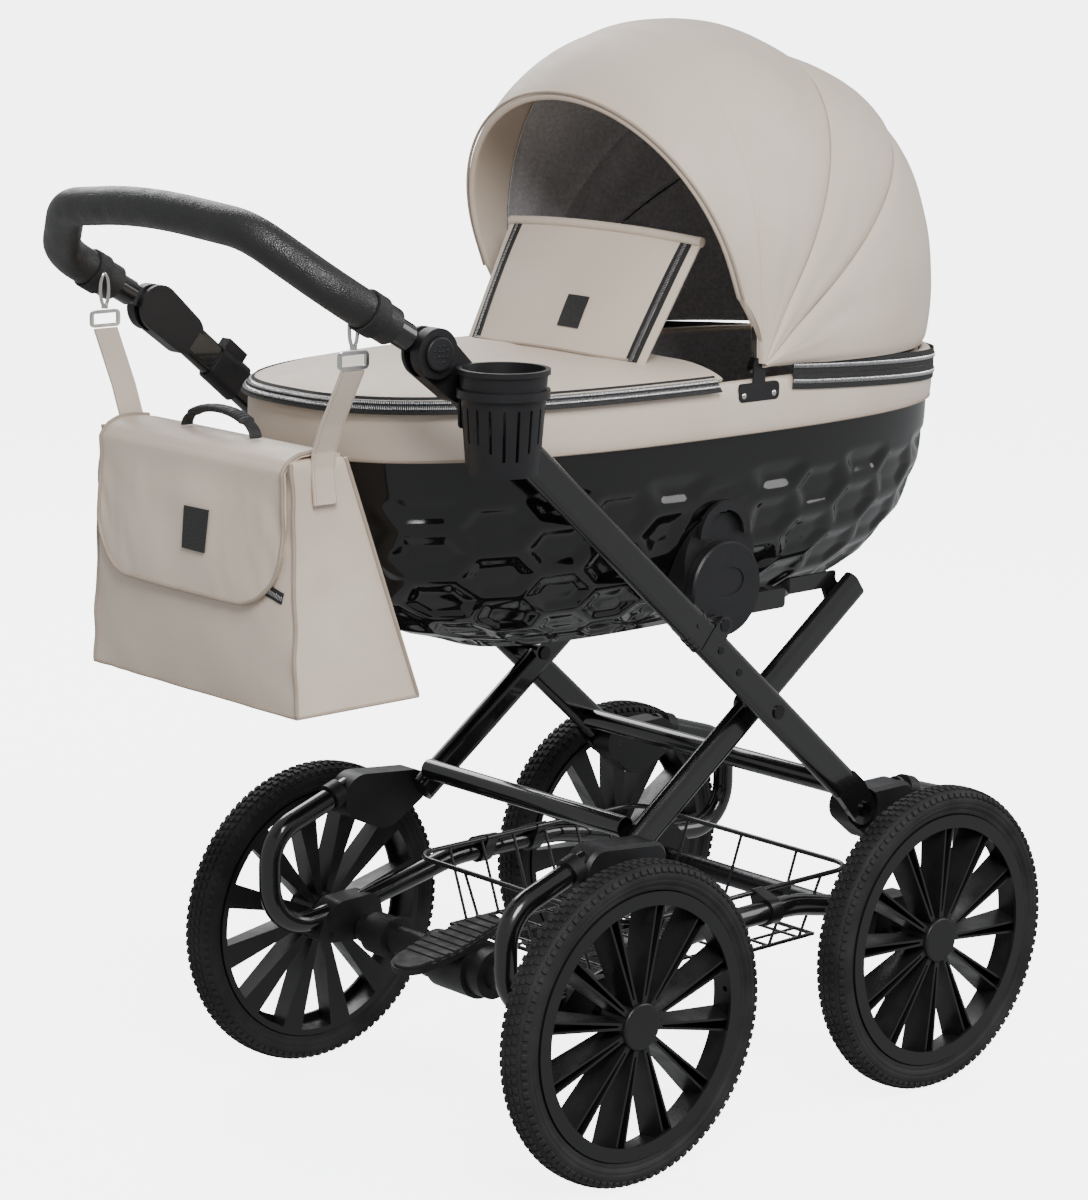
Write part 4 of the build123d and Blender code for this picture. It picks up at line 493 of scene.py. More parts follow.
def smooth_half(z):
    """The shell's half length and half width, with the corners between the levels rounded off."""
    span = 16.0
    tries = [shell_half(min(max(z + d, shell_levels[-1][0]), shell_levels[0][0])) for d in (-span, -span / 2, 0, span / 2, span)]
    return sum(a for a, b in tries) / len(tries), sum(b for a, b in tries) / len(tries)


def dish(s, h):
    """How far a point is pressed in: s round the shell and h up its wall, in millimetres."""
    best = 0.0
    row = round(h / cell_high * 2)
    for r in (row - 2, row - 1, row, row + 1, row + 2):
        middle_h = r * cell_high / 2
        shift = cell_wide * 0.75 * (r % 2)
        c = round((s - shift) / (1.5 * cell_wide))
        for k in (c - 1, c, c + 1):
            ds = abs(s - shift - k * 1.5 * cell_wide)
            dh = abs(h - middle_h)
            slant = ((cell_wide / 2 - ds) * cell_high / 2 - dh * cell_wide / 4) / cell_flank
            edge = min(cell_high / 2 - dh, slant) - cell_ridge
            if edge > best:
                best = edge
    share = min(best / cell_rim, 1.0)
    return share * share * (3 - 2 * share)


wall = []
lengths = [0.0]
lowest = shell_levels[-1][0]
highest = shell_levels[0][0] + 1.5
for i in range(shell_steps):
    t = 2 * pi * i / shell_steps
    wall.append(t)
plan = [egg(446.0, 198.0, t) for t in wall]
around = [0.0]
for a, b in zip(plan, plan[1:] + plan[:1]):
    around.append(around[-1] + ((a[0] - b[0]) ** 2 + (a[1] - b[1]) ** 2) ** 0.5)
ring_length = around[-1]
cells_round = round(ring_length / (1.5 * cell_wide))
around = [a * cells_round * 1.5 * cell_wide / ring_length for a in around]
shell_points = []
climb = []
for k in range(shell_rows + 1):
    share = k / shell_rows
    climb.append(lowest + (highest - lowest) * (share ** 1.35))
height = 0.0
for k, z in enumerate(climb):
    half_length, half_width = smooth_half(z)
    if k:
        before = smooth_half(climb[k - 1])
        height += ((z - climb[k - 1]) ** 2 + (half_width - before[1]) ** 2) ** 0.5
    fade = min(1.0, max(0.0, (742.0 - z) / 16.0))
    row = []
    for i, t in enumerate(wall):
        s = around[i]
        low_fade = min(1.0, max(0.0, (z - lowest) / 12.0))
        arch_dx = plan[i][0] - arch_x
        in_arch = max(abs(arch_dx) - arch_r - 4.0, (z - arch_z) ** 2 / arch_r - arch_r * 1.2 if z > arch_z else -9.0)
        near_arch = min(1.0, max(0.0, (((arch_dx / 66.0) ** 2 + (max(0.0, z - 655.0) / 74.0) ** 2) ** 0.5 - 0.92) / 0.1))
        push = cell_depth * dish(s, height) * fade * low_fade * near_arch
        x, off = egg(half_length - push, half_width - push, t)
        row.append([x, off, z])
    shell_points.append(row)
for row in shell_points:
    for spot in row:
        inside = abs(spot[0] - arch_x) < arch_r and (
            spot[2] < arch_z or (spot[0] - arch_x) ** 2 + (spot[2] - arch_z) ** 2 < arch_r ** 2)
        if inside and abs(spot[1]) > recess_off:
            spot[1] = recess_off if spot[1] > 0 else -recess_off
shell = grid_piece("shell_tub", [[place(*p) for p in row] for row in shell_points], shell_black, around=True,
                   smooth=60.0, flip=True)
base = bmesh.new()
base.from_mesh(shell.data)
base.verts.ensure_lookup_table()
base.faces.new([base.verts[i] for i in range(shell_steps)])
bmesh.ops.recalc_face_normals(base, faces=base.faces)
base.to_mesh(shell.data)
base.free()
thicken(shell, 0.003, smooth=60.0)
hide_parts("cot_shell")
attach(shell, "carrycot")


# The beige trim of the whole pram is a soft eco-leather: a fine-grained coat on a knitted back.
leather_light = (0.71, 0.605, 0.50)
leather_dark = (0.65, 0.545, 0.445)
leather = new_material("leather_beige", leather_light, 0.46, sheen=0.08, specular=0.42)
shade(leather, pattern(leather, "ShaderNodeTexNoise", 7.0).outputs["Fac"], "Base Color", leather_dark, leather_light)
shade(leather, pattern(leather, "ShaderNodeTexNoise", 60.0).outputs["Fac"], "Roughness", 0.4, 0.54)
emboss(leather, pattern(leather, "ShaderNodeTexVoronoi", 900.0, feature="DISTANCE_TO_EDGE").outputs["Distance"], 0.0004, 0.5)
emboss(leather, pattern(leather, "ShaderNodeTexNoise", 160.0).outputs["Fac"], 0.0003, 0.5)
thread = new_material("thread", (0.42, 0.34, 0.26), 0.7)
shade(thread, pattern(thread, "ShaderNodeTexNoise", 900.0).outputs["Fac"], "Base Color", (0.34, 0.27, 0.2), (0.46, 0.38, 0.3))
piping_leather = new_material("leather_piping", (0.40, 0.32, 0.25), 0.5)
shade(piping_leather, pattern(piping_leather, "ShaderNodeTexNoise", 30.0).outputs["Fac"], "Base Color",
      (0.36, 0.285, 0.22), (0.42, 0.34, 0.27))

# The rim of the carrycot is a padded leather band over the shell's edge, bound with a bead along its lower edge.
band_half = (446.8, 200.8)
rim_z = 835.0
band_z = 777.0
band_steps = 240
band_shape = [(0.0, 0.6), (1.0, 2.0), (4.0, 3.2), (14.0, 4.2), (30.0, 4.6), (44.0, 4.2), (54.0, 3.0), (58.0, 1.2), (60.5, -1.6),
              (61.0, -6.0), (60.0, -9.0)]
band_rows = []
for up, out in band_shape:
    row = []
    for i in range(band_steps):
        t = 2 * pi * i / band_steps
        x, off = egg(band_half[0] + out, band_half[1] + out, t)
        swell = 0.7 * noise.noise(Vector((x / 90, off / 90, up / 40)))
        k = 1 + swell / 400
        row.append(place(cot_x + (x - cot_x) * k, off * k, band_z + up * (rim_z - band_z) / 61.0 + 0.0))
    band_rows.append(row)
band_in = [[place(*egg(band_half[0] - 9.5, band_half[1] - 9.5, 2 * pi * i / band_steps), z) for i in range(band_steps)]
           for z in (rim_z - 2.0, band_z)]
band = grid_piece("band_cover", band_rows + band_in + [band_rows[0]], leather, around=True, smooth=50.0, flip=True)
work = bmesh.new()
work.from_mesh(band.data)
bmesh.ops.remove_doubles(work, verts=work.verts, dist=1e-6)
bmesh.ops.recalc_face_normals(work, faces=work.faces)
work.to_mesh(band.data)
work.free()
smooth_faces(band.data, 50.0)


def cot_ring(out, z, start=0.0, stop=2 * pi, steps=200):
    """Points on the carrycot's outline at a height, out from the band, between two angles."""
    return [place(*egg(band_half[0] + out, band_half[1] + out, start + (stop - start) * i / steps), z)
            for i in range(steps + 1)]


band_bead = cord_round("band_bead", cot_ring(2.2, band_z + 1.0)[:-1], 0.0016, piping_leather, closed=True)
band = joined("band_cover", [band, band_bead])
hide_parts("cot_band")
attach(band, "carrycot")


# The hood is padded leather sewn in panels over three bows, which turn on a pin each side. The
# visor is a fourth panel in front. Every seam between panels is pulled in and corded.
hood_pin = (-5.0, 850.0)
hood_half = 206.2
hood_straight = 110.0
hood_stations = [(112.0, 305.0), (93.2, 346.5), (57.8, 378.7), (36.0, 426.0), (19.0, 434.0), (-1.5, 417.5)]
arch_steps = 56
side_steps = 9
lining_depth = 9.0


def hood_reach(angle):
    """Reach of the hood above its pin at an angle, a smooth curve through the stations."""
    spots = hood_stations[::-1]
    i = 0
    while i < len(spots) - 2 and angle > spots[i + 1][0]:
        i += 1
    (a0, r0), (a1, r1) = spots[i], spots[i + 1]
    before = spots[max(i - 1, 0)]
    after = spots[min(i + 2, len(spots) - 1)]
    slope0 = (r1 - before[1]) / (a1 - before[0])
    slope1 = (after[1] - r0) / (after[0] - a0)
    span = a1 - a0
    k = (angle - a0) / span
    return ((2 * k ** 3 - 3 * k ** 2 + 1) * r0 + (k ** 3 - 2 * k ** 2 + k) * span * slope0
            + (3 * k ** 2 - 2 * k ** 3) * r1 + (k ** 3 - k ** 2) * span * slope1)


def hood_place(angle, across, up):
    """A point on the hood's fan: across towards the near side and up from the pin, at an angle."""
    a = radians(angle)
    return place(hood_pin[0] + up * cos(a), across, hood_pin[1] + up * sin(a))


def hood_arch(angle, reach, base, inset=0.0):
    """Points of one arch from the near side's foot over the top to the far side's foot."""
    half = hood_half - inset
    rise = reach - inset - hood_straight
    spots = [(half, base + (hood_straight - base) * i / side_steps) for i in range(side_steps)]
    spots += [(half * cos(pi * i / arch_steps), hood_straight + rise * sin(pi * i / arch_steps))
              for i in range(arch_steps + 1)]
    spots += [(-half, base + (hood_straight - base) * i / side_steps) for i in reversed(range(side_steps))]
    return [(angle, across, up) for across, up in spots]


def hood_panel(name, first, last, steps, base, finish, puff, inset=0.0, wall=0.0022, fold=1.6, grip=6.0):
    """A sewn panel between two angles, puffed out by its padding and pulled in at its seams."""
    rows = []
    for i in range(steps + 1):
        k = i / steps
        angle = first + (last - first) * k
        spots = hood_arch(angle, hood_reach(angle), base(k) if callable(base) else base, inset)
        row = []
        for j, (a, across, up) in enumerate(spots):
            radius = max(20.0, (across ** 2 * 0.25 + up ** 2) ** 0.5)
            to_seam = min(k, 1 - k) * radians(abs(last - first)) * radius
            lift = puff * sin(pi * k) ** 0.7 - 3.4 * exp(-(to_seam / grip) ** 2)
            wave = noise.noise(Vector((j / 7.0, angle / 13.0, 3.1))) + 0.6 * noise.noise(Vector((j / 3.0, angle / 7.0, 9.4)))
            lift += fold * wave * sin(pi * k)
            out = Vector((across / hood_half ** 1.1, (up - hood_straight) / 300.0 if up > hood_straight else 0.0)).normalized()
            row.append(hood_place(a, across + out.x * lift, up + out.y * lift))
        rows.append(row)
    panel = grid_piece(name, rows, finish, smooth=45.0)
    return thicken(panel, wall, 45.0)


lining_grey = new_material("lining_grey", (0.22, 0.215, 0.22), 0.8, sheen=0.3)
weave = pattern(lining_grey, "ShaderNodeTexNoise", 260.0)
shade(lining_grey, weave.outputs["Fac"], "Base Color", (0.40, 0.39, 0.40), (0.56, 0.55, 0.56))
emboss(lining_grey, pattern(lining_grey, "ShaderNodeTexWave", 420.0).outputs["Fac"], 0.0003, 0.6)
emboss(lining_grey, pattern(lining_grey, "ShaderNodeTexNoise", 24.0).outputs["Fac"], 0.006, 0.7)
zip_black = new_material("zip_tape", (0.012, 0.012, 0.012), 0.65)
shade(zip_black, pattern(zip_black, "ShaderNodeTexNoise", 700.0).outputs["Fac"], "Base Color", (0.008, 0.008, 0.008), (0.03, 0.03, 0.03))
emboss(zip_black, pattern(zip_black, "ShaderNodeTexWave", 900.0).outputs["Fac"], 0.0002)
zip_silver = new_material("zip_silver", (0.66, 0.66, 0.67), 0.28, metallic=1.0)
shade(zip_silver, pattern(zip_silver, "ShaderNodeTexNoise", 500.0).outputs["Fac"], "Roughness", 0.2, 0.4)

hood_panels = [("hood_front_panel", 93.2, 57.8, "middle_bow", "front_bow", 26),
               ("hood_middle_panel", 57.8, 36.0, "rear_bow", "middle_bow", 20),
               ("hood_back_panel", 36.0, -1.5, "carrycot", "rear_bow", 28)]
swing_radius = 150.0


def swing_ends(first, last):
    """Two points across a panel's middle, at its later and its earlier seam."""
    return hood_place(last, 0.0, swing_radius), hood_place(first, 0.0, swing_radius)


hood_base = 3.0
for name, first, last, lower, upper, steps in hood_panels:
    panel = hood_panel(name, first, last, steps, hood_base, leather, 5.0)
    inner = hood_panel(name + "_lining", first, last, steps, hood_base, lining_grey, -3.0, lining_depth, 0.0012, 3.0)
    start, end = swing_ends(first, last)
    for piece in (panel, inner):
        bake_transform(piece)
    if name == "hood_front_panel":
        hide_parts("canopy")


# The visor is one padded panel with a rolled edge round the opening, faced inside with the
# same leather, and hides the seam where it meets the hood.
visor_from = 92.4
visor_to = 112.0
visor_steps = 18
visor_thick = 8.0
visor_rows = []


def visor_base(k):
    return 24.0 + 56.0 * k ** 1.3


for k in [i / visor_steps for i in range(visor_steps + 1)]:
    angle = visor_from + (visor_to - visor_from) * k
    row = []
    for j, (a, across, up) in enumerate(hood_arch(angle, hood_reach(angle), visor_base(k))):
        lift = 5.0 * sin(pi * min(1.0, k * 0.9 + 0.1)) ** 0.6 - 1.5 * exp(-(k / 0.06) ** 2)
        lift += 1.0 * noise.noise(Vector((j / 8.0, k * 2.0, 7.7)))
        out = Vector((across / hood_half, (up - hood_straight) / 260.0 if up > hood_straight else 0.0)).normalized()
        row.append(hood_place(a, across + out.x * lift, up + out.y * lift))
    visor_rows.append(row)
for i in range(1, 6):
    t = pi * i / 6
    row = []
    for a, across, up in hood_arch(visor_to, hood_reach(visor_to), visor_base(1.0)):
        out = Vector((across / hood_half, (up - hood_straight) / 260.0 if up > hood_straight else 0.0)).normalized()
        lift = -visor_thick / 2 + visor_thick / 2 * cos(t)
        swing = 3.4 * sin(t) / max(120.0, up) * 57.3
        row.append(hood_place(a + swing, across + out.x * lift, up + out.y * lift))
    visor_rows.append(row)
for k in [1 - i / visor_steps for i in range(visor_steps + 1)]:
    angle = visor_from + (visor_to - visor_from) * k
    row = []
    for j, (a, across, up) in enumerate(hood_arch(angle, hood_reach(angle), visor_base(k), visor_thick)):
        fold = 1.2 * noise.noise(Vector((j / 2.4, k * 1.5, 1.7)))
        row.append(hood_place(a, across - (1 if across > 0 else -1) * fold * 0.5, up + fold))
    visor_rows.append(row)
visor = grid_piece("visor_panel", visor_rows + [visor_rows[0]], leather, smooth=60.0)
work = bmesh.new()
work.from_mesh(visor.data)
bmesh.ops.remove_doubles(work, verts=work.verts, dist=1e-6)
for side_edges in (True, False):
    rim = [e for e in work.edges if e.is_boundary and (e.verts[0].co.y < 0.0195) == side_edges]
    bmesh.ops.holes_fill(work, edges=rim, sides=0)
bmesh.ops.recalc_face_normals(work, faces=work.faces)
work.to_mesh(visor.data)
work.free()
smooth_faces(visor.data, 60.0)
edge_line = []
for a, across, up in hood_arch(visor_to, hood_reach(visor_to), visor_base(1.0)):
    edge_line.append(hood_place(a + 0.35, across * 1.008, up + (1.8 if up > hood_straight else 0.0)))
visor_bead = cord_round("visor_bead", edge_line, 0.0017, piping_leather)
visor = joined("visor_panel", [visor, visor_bead])
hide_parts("visor")
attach(visor, "front_bow")


# Corded seams: a bead of the same leather lies in each seam of the hood over a bow.
for angle, body, name in ((93.2, "front_bow", "front"), (57.8, "middle_bow", "middle"), (36.0, "rear_bow", "rear")):
    line = []
    for a, across, up in hood_arch(angle, hood_reach(angle) - 1.2, hood_base + 4.0):
        line.append(hood_place(a, across * 0.996, up))
    seam = cord_round("hood_seam_" + name, line, 0.0016, piping_leather)
    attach(seam, body)


# Zips: a black woven tape with two rows of silver teeth. They run round the foot end under the apron, in two rows
# round the hood end, and up each side of the windscreen.
tooth = (0.0009, 0.0046, 0.0011)
tooth_pitch = 0.0019


def ribbon(name, line, faces, half, finish, lift=0.0):
    """A flat tape along a line, half as wide as half, facing as each of faces."""
    rows = []
    for i, p in enumerate(line):
        ahead = (line[min(i + 1, len(line) - 1)] - line[max(i - 1, 0)]).normalized()
        across = ahead.cross(faces[i]).normalized()
        rows.append([p + across * half * s + faces[i] * (lift - 0.0003 * abs(s)) for s in (-1.0, -0.5, 0.0, 0.5, 1.0)])
    return thicken(grid_piece(name, rows, finish, smooth=50.0), 0.0008, 50.0)


def zip_line(name, line, faces, half, body, lift=0.0010, rows=(0.0,)):
    """A zip along a line: tape and teeth as one piece, with a line of teeth at each of rows."""
    tape = ribbon(name, line, faces, half, zip_black, lift)
    spots = []
    for row in rows:
        for p, ahead, at in evenly(line, tooth_pitch):
            i = min(int(at), len(line) - 2)
            facing = faces[i].lerp(faces[i + 1], at - i).normalized()
            spots.append((p + facing * (lift + 0.0006) + ahead.cross(facing) * row, ahead, facing))
    teeth = repeated(name + "_teeth", block("tooth", tooth, 0.0003), spots, zip_silver)
    made = joined(name, [tape, teeth])
    if body:
        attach(made, body)
    return made


def outward(points, centre):
    """For each point, the level direction away from the carrycot's middle line."""
    found = []
    for i, p in enumerate(points):
        ahead = points[min(i + 1, len(points) - 1)] - points[max(i - 1, 0)]
        facing = Vector((ahead.y, -ahead.x, 0)).normalized()
        if facing.dot(p - centre) < 0:
            facing = -facing
        found.append(facing)
    return found


cot_middle = place(cot_x, 0.0, rim_z)
foot_start = 1.60
foot_line = cot_ring(4.4, 835.5, foot_start, 2 * pi - foot_start, 150)
foot_faces = outward(foot_line, cot_middle)
foot_faces = [(f * 0.75 + Vector((0, 0, 0.66))).normalized() for f in foot_faces]
zip_line("foot_zip", foot_line, foot_faces, 0.0105, "carrycot", rows=(0.0035, -0.0035))


def hood_zip(name, high, low, stretch):
    """A zip round the hood end that drops from high at the pins to low at the very end."""
    line = []
    for i in range(121):
        t = -stretch + 2 * stretch * i / 120
        k = cos(t / stretch * pi / 2) ** 0.8
        line.append(place(*egg(band_half[0] + 5.4, band_half[1] + 5.4, t), high + (low - high) * k))
    return zip_line(name, line, outward(line, cot_middle), 0.0085, "carrycot")


hood_zip("hood_zip_upper", 846.0, 822.0, 1.47)
hood_zip("hood_zip_lower", 829.0, 804.0, 1.47)


# The handle's grip is a foam sleeve sewn into grained black leather, and the brake pedal has a
# ribbed rubber pad. Both keep the shape of their solids.
grip_leather = new_material("grip_leather", (0.014, 0.014, 0.014), 0.38, specular=0.5)
shade(grip_leather, pattern(grip_leather, "ShaderNodeTexNoise", 50.0).outputs["Fac"], "Roughness", 0.3, 0.46)
emboss(grip_leather, pattern(grip_leather, "ShaderNodeTexVoronoi", 420.0, feature="DISTANCE_TO_EDGE").outputs["Distance"],
       0.0009, 0.7)
emboss(grip_leather, pattern(grip_leather, "ShaderNodeTexNoise", 150.0).outputs["Fac"], 0.0004, 0.5)
pad_rubber = new_material("pad_rubber", (0.016, 0.016, 0.016), 0.6)
shade(pad_rubber, pattern(pad_rubber, "ShaderNodeTexNoise", 80.0).outputs["Fac"], "Roughness", 0.5, 0.7)
emboss(pad_rubber, pattern(pad_rubber, "ShaderNodeTexNoise", 700.0).outputs["Fac"], 0.0002)
dress(grip_leather, "handle_grip")
dress(pad_rubber, "brake_pad")
dress(chrome, "strap_rings")


# The lining is a quilted grey cotton tub, sewn in upright channels, open at the top. The
# mattress is a crowned foam pad in a cover of the same cloth with a corded edge.
tub_levels = [(829.0, 433.0, 186.5), (780.0, 432.0, 186.0), (740.0, 431.0, 183.0), (690.0, 424.0, 175.0),
              (640.0, 400.0, 158.0), (604.0, 362.0, 137.0)]
tub_steps = 224
tub_channels = 56
tub_floor_z = 601.5
tub_wall = 0.003


def tub_row(z, half_length, half_width, quilt):
    row = []
    for i in range(tub_steps):
        t = 2 * pi * i / tub_steps
        puff = quilt * (abs(sin(t * tub_channels / 2)) ** 0.6 - 1.0)
        row.append(place(*egg(half_length + puff, half_width + puff, t), z))
    return row


tub_rows = []
for (z1, a1, b1), (z0, a0, b0) in zip(tub_levels, tub_levels[1:]):
    for k in range(4):
        share = k / 4
        tub_rows.append(tub_row(z1 + (z0 - z1) * share, a1 + (a0 - a1) * share, b1 + (b0 - b1) * share,
                                2.4 if tub_rows else 0.0))
tub_rows.append(tub_row(tub_levels[-1][0], tub_levels[-1][1], tub_levels[-1][2], 1.0))
for share in (0.97, 0.85, 0.6, 0.3, 0.04):
    tub_rows.append(tub_row(tub_floor_z, tub_levels[-1][1] * share, tub_levels[-1][2] * share, 0.0))
lining = grid_piece("lining_tub", tub_rows, lining_grey, around=True, smooth=60.0, flip=False)
work = bmesh.new()
work.from_mesh(lining.data)
work.verts.ensure_lookup_table()
work.faces.new([work.verts[len(work.verts) - tub_steps + i] for i in range(tub_steps)])
bmesh.ops.recalc_face_normals(work, faces=work.faces)
work.to_mesh(lining.data)
work.free()
thicken(lining, tub_wall, 60.0)
lining_bead = cord_round("lining_bead", tub_row(829.5, 433.0, 186.5, 0.0), 0.0028, leather, closed=True)
lining = joined("lining_tub", [lining, lining_bead])
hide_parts("cot_lining")
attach(lining, "carrycot")

pad_levels = [(607.0, 0.90, 0.0), (607.2, 0.96, 0.0), (611.0, 0.992, 0.0), (618.0, 1.0, 0.0), (634.0, 1.0, 0.0),
              (641.0, 0.99, 0.0), (644.5, 0.955, 0.6), (646.0, 0.88, 1.0), (646.4, 0.7, 1.0), (646.8, 0.45, 1.0),
              (647.0, 0.2, 1.0), (647.0, 0.02, 1.0)]
pad_rows = []
for z, share, sway in pad_levels:
    row = []
    for i in range(120):
        x, off = egg(345.0 * share, 123.0 * share, 2 * pi * i / 120)
        row.append(place(x, off, z + sway * 1.6 * noise.noise(Vector((x / 60, off / 60, 0.5)))))
    pad_rows.append(row)
mattress = grid_piece("mattress_pad", pad_rows, lining_grey, around=True, smooth=60.0)
work = bmesh.new()
work.from_mesh(mattress.data)
work.verts.ensure_lookup_table()
work.faces.new([work.verts[i] for i in range(120)])
work.faces.new([work.verts[len(work.verts) - 120 + i] for i in range(120)])
bmesh.ops.recalc_face_normals(work, faces=work.faces)
work.to_mesh(mattress.data)
work.free()
pad_bead = cord_round("pad_bead", [place(*egg(345.0, 123.0, 2 * pi * i / 120), 640.0) for i in range(120)], 0.0018,
                      lining_grey, closed=True)
mattress = joined("mattress_pad", [mattress, pad_bead])
smooth_faces(mattress.data, 60.0)
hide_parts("mattress")
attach(mattress, "carrycot")


# The apron is a padded leather cover that is zipped round the foot half of the rim. It is
# crowned, rolls over at the zip, and has a corded front hem.
apron_front = -60.0
apron_rows = []
apron_columns = 72
apron_lines = 60


def apron_point(x, share):
    """A point of the apron's top, across the cot by a share of its half width there."""
    far = min(abs(x - cot_x) / band_half[0], 1.0)
    half = band_half[1] * max(0.0, 1 - far ** cot_power) ** (1 / cot_power)
    off = half * share
    reach = min(1.0, (far ** cot_power + (abs(off) / band_half[1]) ** cot_power) ** (1 / cot_power))
    rise = 15.0 * (1 - reach ** 5) ** 0.8
    ripple = 1.5 * noise.noise(Vector((x / 70, off / 45, 2.2))) * (1 - reach ** 4)
    return place(x, off, 838.0 + rise + ripple)


for i in range(apron_lines + 1):
    x = apron_front + (cot_x - band_half[0] - apron_front) * sin(pi / 2 * i / apron_lines) * 0.9995
    apron_rows.append([apron_point(x, sin(pi / 2 * (2 * j / apron_columns - 1))) for j in range(apron_columns + 1)])
apron = thicken(grid_piece("apron_cover", apron_rows, leather, smooth=50.0), 0.003, 50.0)
work = bmesh.new()
work.from_mesh(apron.data)
bmesh.ops.recalc_face_normals(work, faces=work.faces)
work.to_mesh(apron.data)
work.free()
apron_hem = cord_round("apron_hem", [apron_point(apron_front, sin(pi / 2 * (2 * j / 72 - 1))) for j in range(73)], 0.003, leather)
apron = joined("apron_cover", [apron, apron_hem])
smooth_faces(apron.data, 50.0)
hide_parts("apron")
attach(apron, "apron_cover")


# The windscreen is a leather flap that stands on the apron: a bowed panel with a rolled top hem,
# a zip up each side, a side strip beyond it, and a bare black patch sewn on.
screen_foot = (-123.0, 849.0)
screen_top = (-47.0, 982.0)
screen_halves = (141.0, 152.0)
screen_zip_in = 22.0
screen_strip_in = 10.0


def screen_point(share, k, out=0.0):
    """A point of the windscreen: share of the half width across, k of its height, out from it."""
    off = share * (screen_halves[0] + (screen_halves[1] - screen_halves[0]) * k)
    bow = 13.0 * (1 - share ** 2) + 5.0 * sin(pi * k) * (1 - share ** 4) - 3.0 + out
    bow += 1.0 * noise.noise(Vector((share * 2.2, k * 2.0, 4.4)))
    x = screen_foot[0] + (screen_top[0] - screen_foot[0]) * k
    z = screen_foot[1] + (screen_top[1] - screen_foot[1]) * k
    return place(x - 0.868 * bow, off, z + 0.496 * bow)


screen_rows = [[screen_point(2 * j / 40 - 1, i / 24) for j in range(41)] for i in range(25)]
screen = thicken(grid_piece("screen_panel", screen_rows, leather, smooth=50.0), 0.0024, 50.0)
screen_edge = [screen_point(-0.86 + 1.72 * j / 30, 0.03 + 0.02 * (abs(2 * j / 30 - 1) ** 6), 0.5) for j in range(31)]
screen_hem = cord_round("screen_hem", [screen_point(2 * j / 40 - 1, 1.0, -1.0) for j in range(41)], 0.0055, leather, sides=5)
screen_cord = cord_round("screen_cord", screen_edge, 0.0016, piping_leather)
patch = [[screen_point(0.06 + 0.22 * j / 4, 0.20 + 0.24 * i / 4, 1.6) for j in range(5)] for i in range(5)]
patch_black = new_material("patch_black", (0.02, 0.02, 0.02), 0.6)
shade(patch_black, pattern(patch_black, "ShaderNodeTexNoise", 300.0).outputs["Fac"], "Roughness", 0.5, 0.7)
emboss(patch_black, pattern(patch_black, "ShaderNodeTexWave", 700.0).outputs["Fac"], 0.0002)
screen_patch = thicken(grid_piece("screen_patch", [row[::-1] for row in patch][::-1], patch_black), 0.0012)
screen = joined("screen_panel", [screen, screen_hem, screen_cord, screen_patch])
smooth_faces(screen.data, 50.0)
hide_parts("windscreen")
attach(screen, "screen")
for side, label in ((1, "near"), (-1, "far")):
    line = [screen_point(side * 0.885, 0.03 + 0.95 * i / 40, 0.6) for i in range(41)]
    faces = []
    for i in range(41):
        k = 0.03 + 0.95 * i / 40
        across = screen_point(side * 0.93, k) - screen_point(side * 0.84, k)
        up = screen_point(side * 0.885, k + 0.02) - screen_point(side * 0.885, k - 0.02)
        facing = across.cross(up).normalized()
        faces.append(facing if facing.x < 0 else -facing)
    zip_line("screen_zip_" + label, line, faces, 0.0075, "screen", 0.0004)


# The changing bag is sewn leather: a body that bulges in front, side gussets with corded seams,
# and a flap with rounded corners over the top, with a bare patch.
bag_levels = (545.0, 800.0)
bag_front = (-610.0, -605.0)
bag_back = (-453.0, -540.0)
bag_halves = (170.0, 158.0)
bag_crease = 3.6


def bag_front_x(off, z):
    """Front face of the bag, bulged by what it holds."""
    k = (z - bag_levels[0]) / (bag_levels[1] - bag_levels[0])
    half = bag_halves[0] + (bag_halves[1] - bag_halves[0]) * k
    flat = bag_front[0] + (bag_front[1] - bag_front[0]) * k
    swell = 13.0 * sin(pi * min(1.0, max(0.0, k)) ** 0.8) * max(0.0, 1 - (off / half) ** 2) ** 0.7
    sag = 2.6 * noise.noise(Vector((off / 60, z / 80, 8.0)))
    sag += bag_crease * noise.noise(Vector((off / 16 + z / 60, z / 48, 5.0))) * (off / half) ** 2
    return flat - swell - sag


def bag_ring(k, shrink):
    """Points round the bag at a height share, drawn in towards its middle by a share."""
    z = bag_levels[0] + (bag_levels[1] - bag_levels[0]) * k
    back = bag_back[0] + (bag_back[1] - bag_back[0]) * k
    half = bag_halves[0] + (bag_halves[1] - bag_halves[0]) * k
    front = bag_front[0] + (bag_front[1] - bag_front[0]) * k
    sink = 5.0 * sin(pi * k)
    spots = []
    for i in range(25):
        off = half * (1 - 2 * i / 24)
        spots.append((bag_front_x(off, z), off))
    for i in range(1, 13):
        dent = sink * (1 + 1.2 * noise.noise(Vector((i / 5, k * 5, 2.0))))
        spots.append((front + (back - front) * i / 12, -half + dent * sin(pi * i / 12)))
    for i in range(1, 25):
        off = -half + 2 * half * i / 24
        spots.append((back + 3.0 * sin(pi * k) * (1 - (off / half) ** 2), off))
    for i in range(1, 12):
        dent = sink * (1 + 1.2 * noise.noise(Vector((i / 5, k * 5, 6.0))))
        spots.append((back + (front - back) * i / 12, half - dent * sin(pi * i / 12)))
    middle = (front + back) / 2
    return [place(middle + (x - middle) * shrink, off * (1 - (1 - shrink) * (back - front) / 2 / half), z) for x, off in spots]


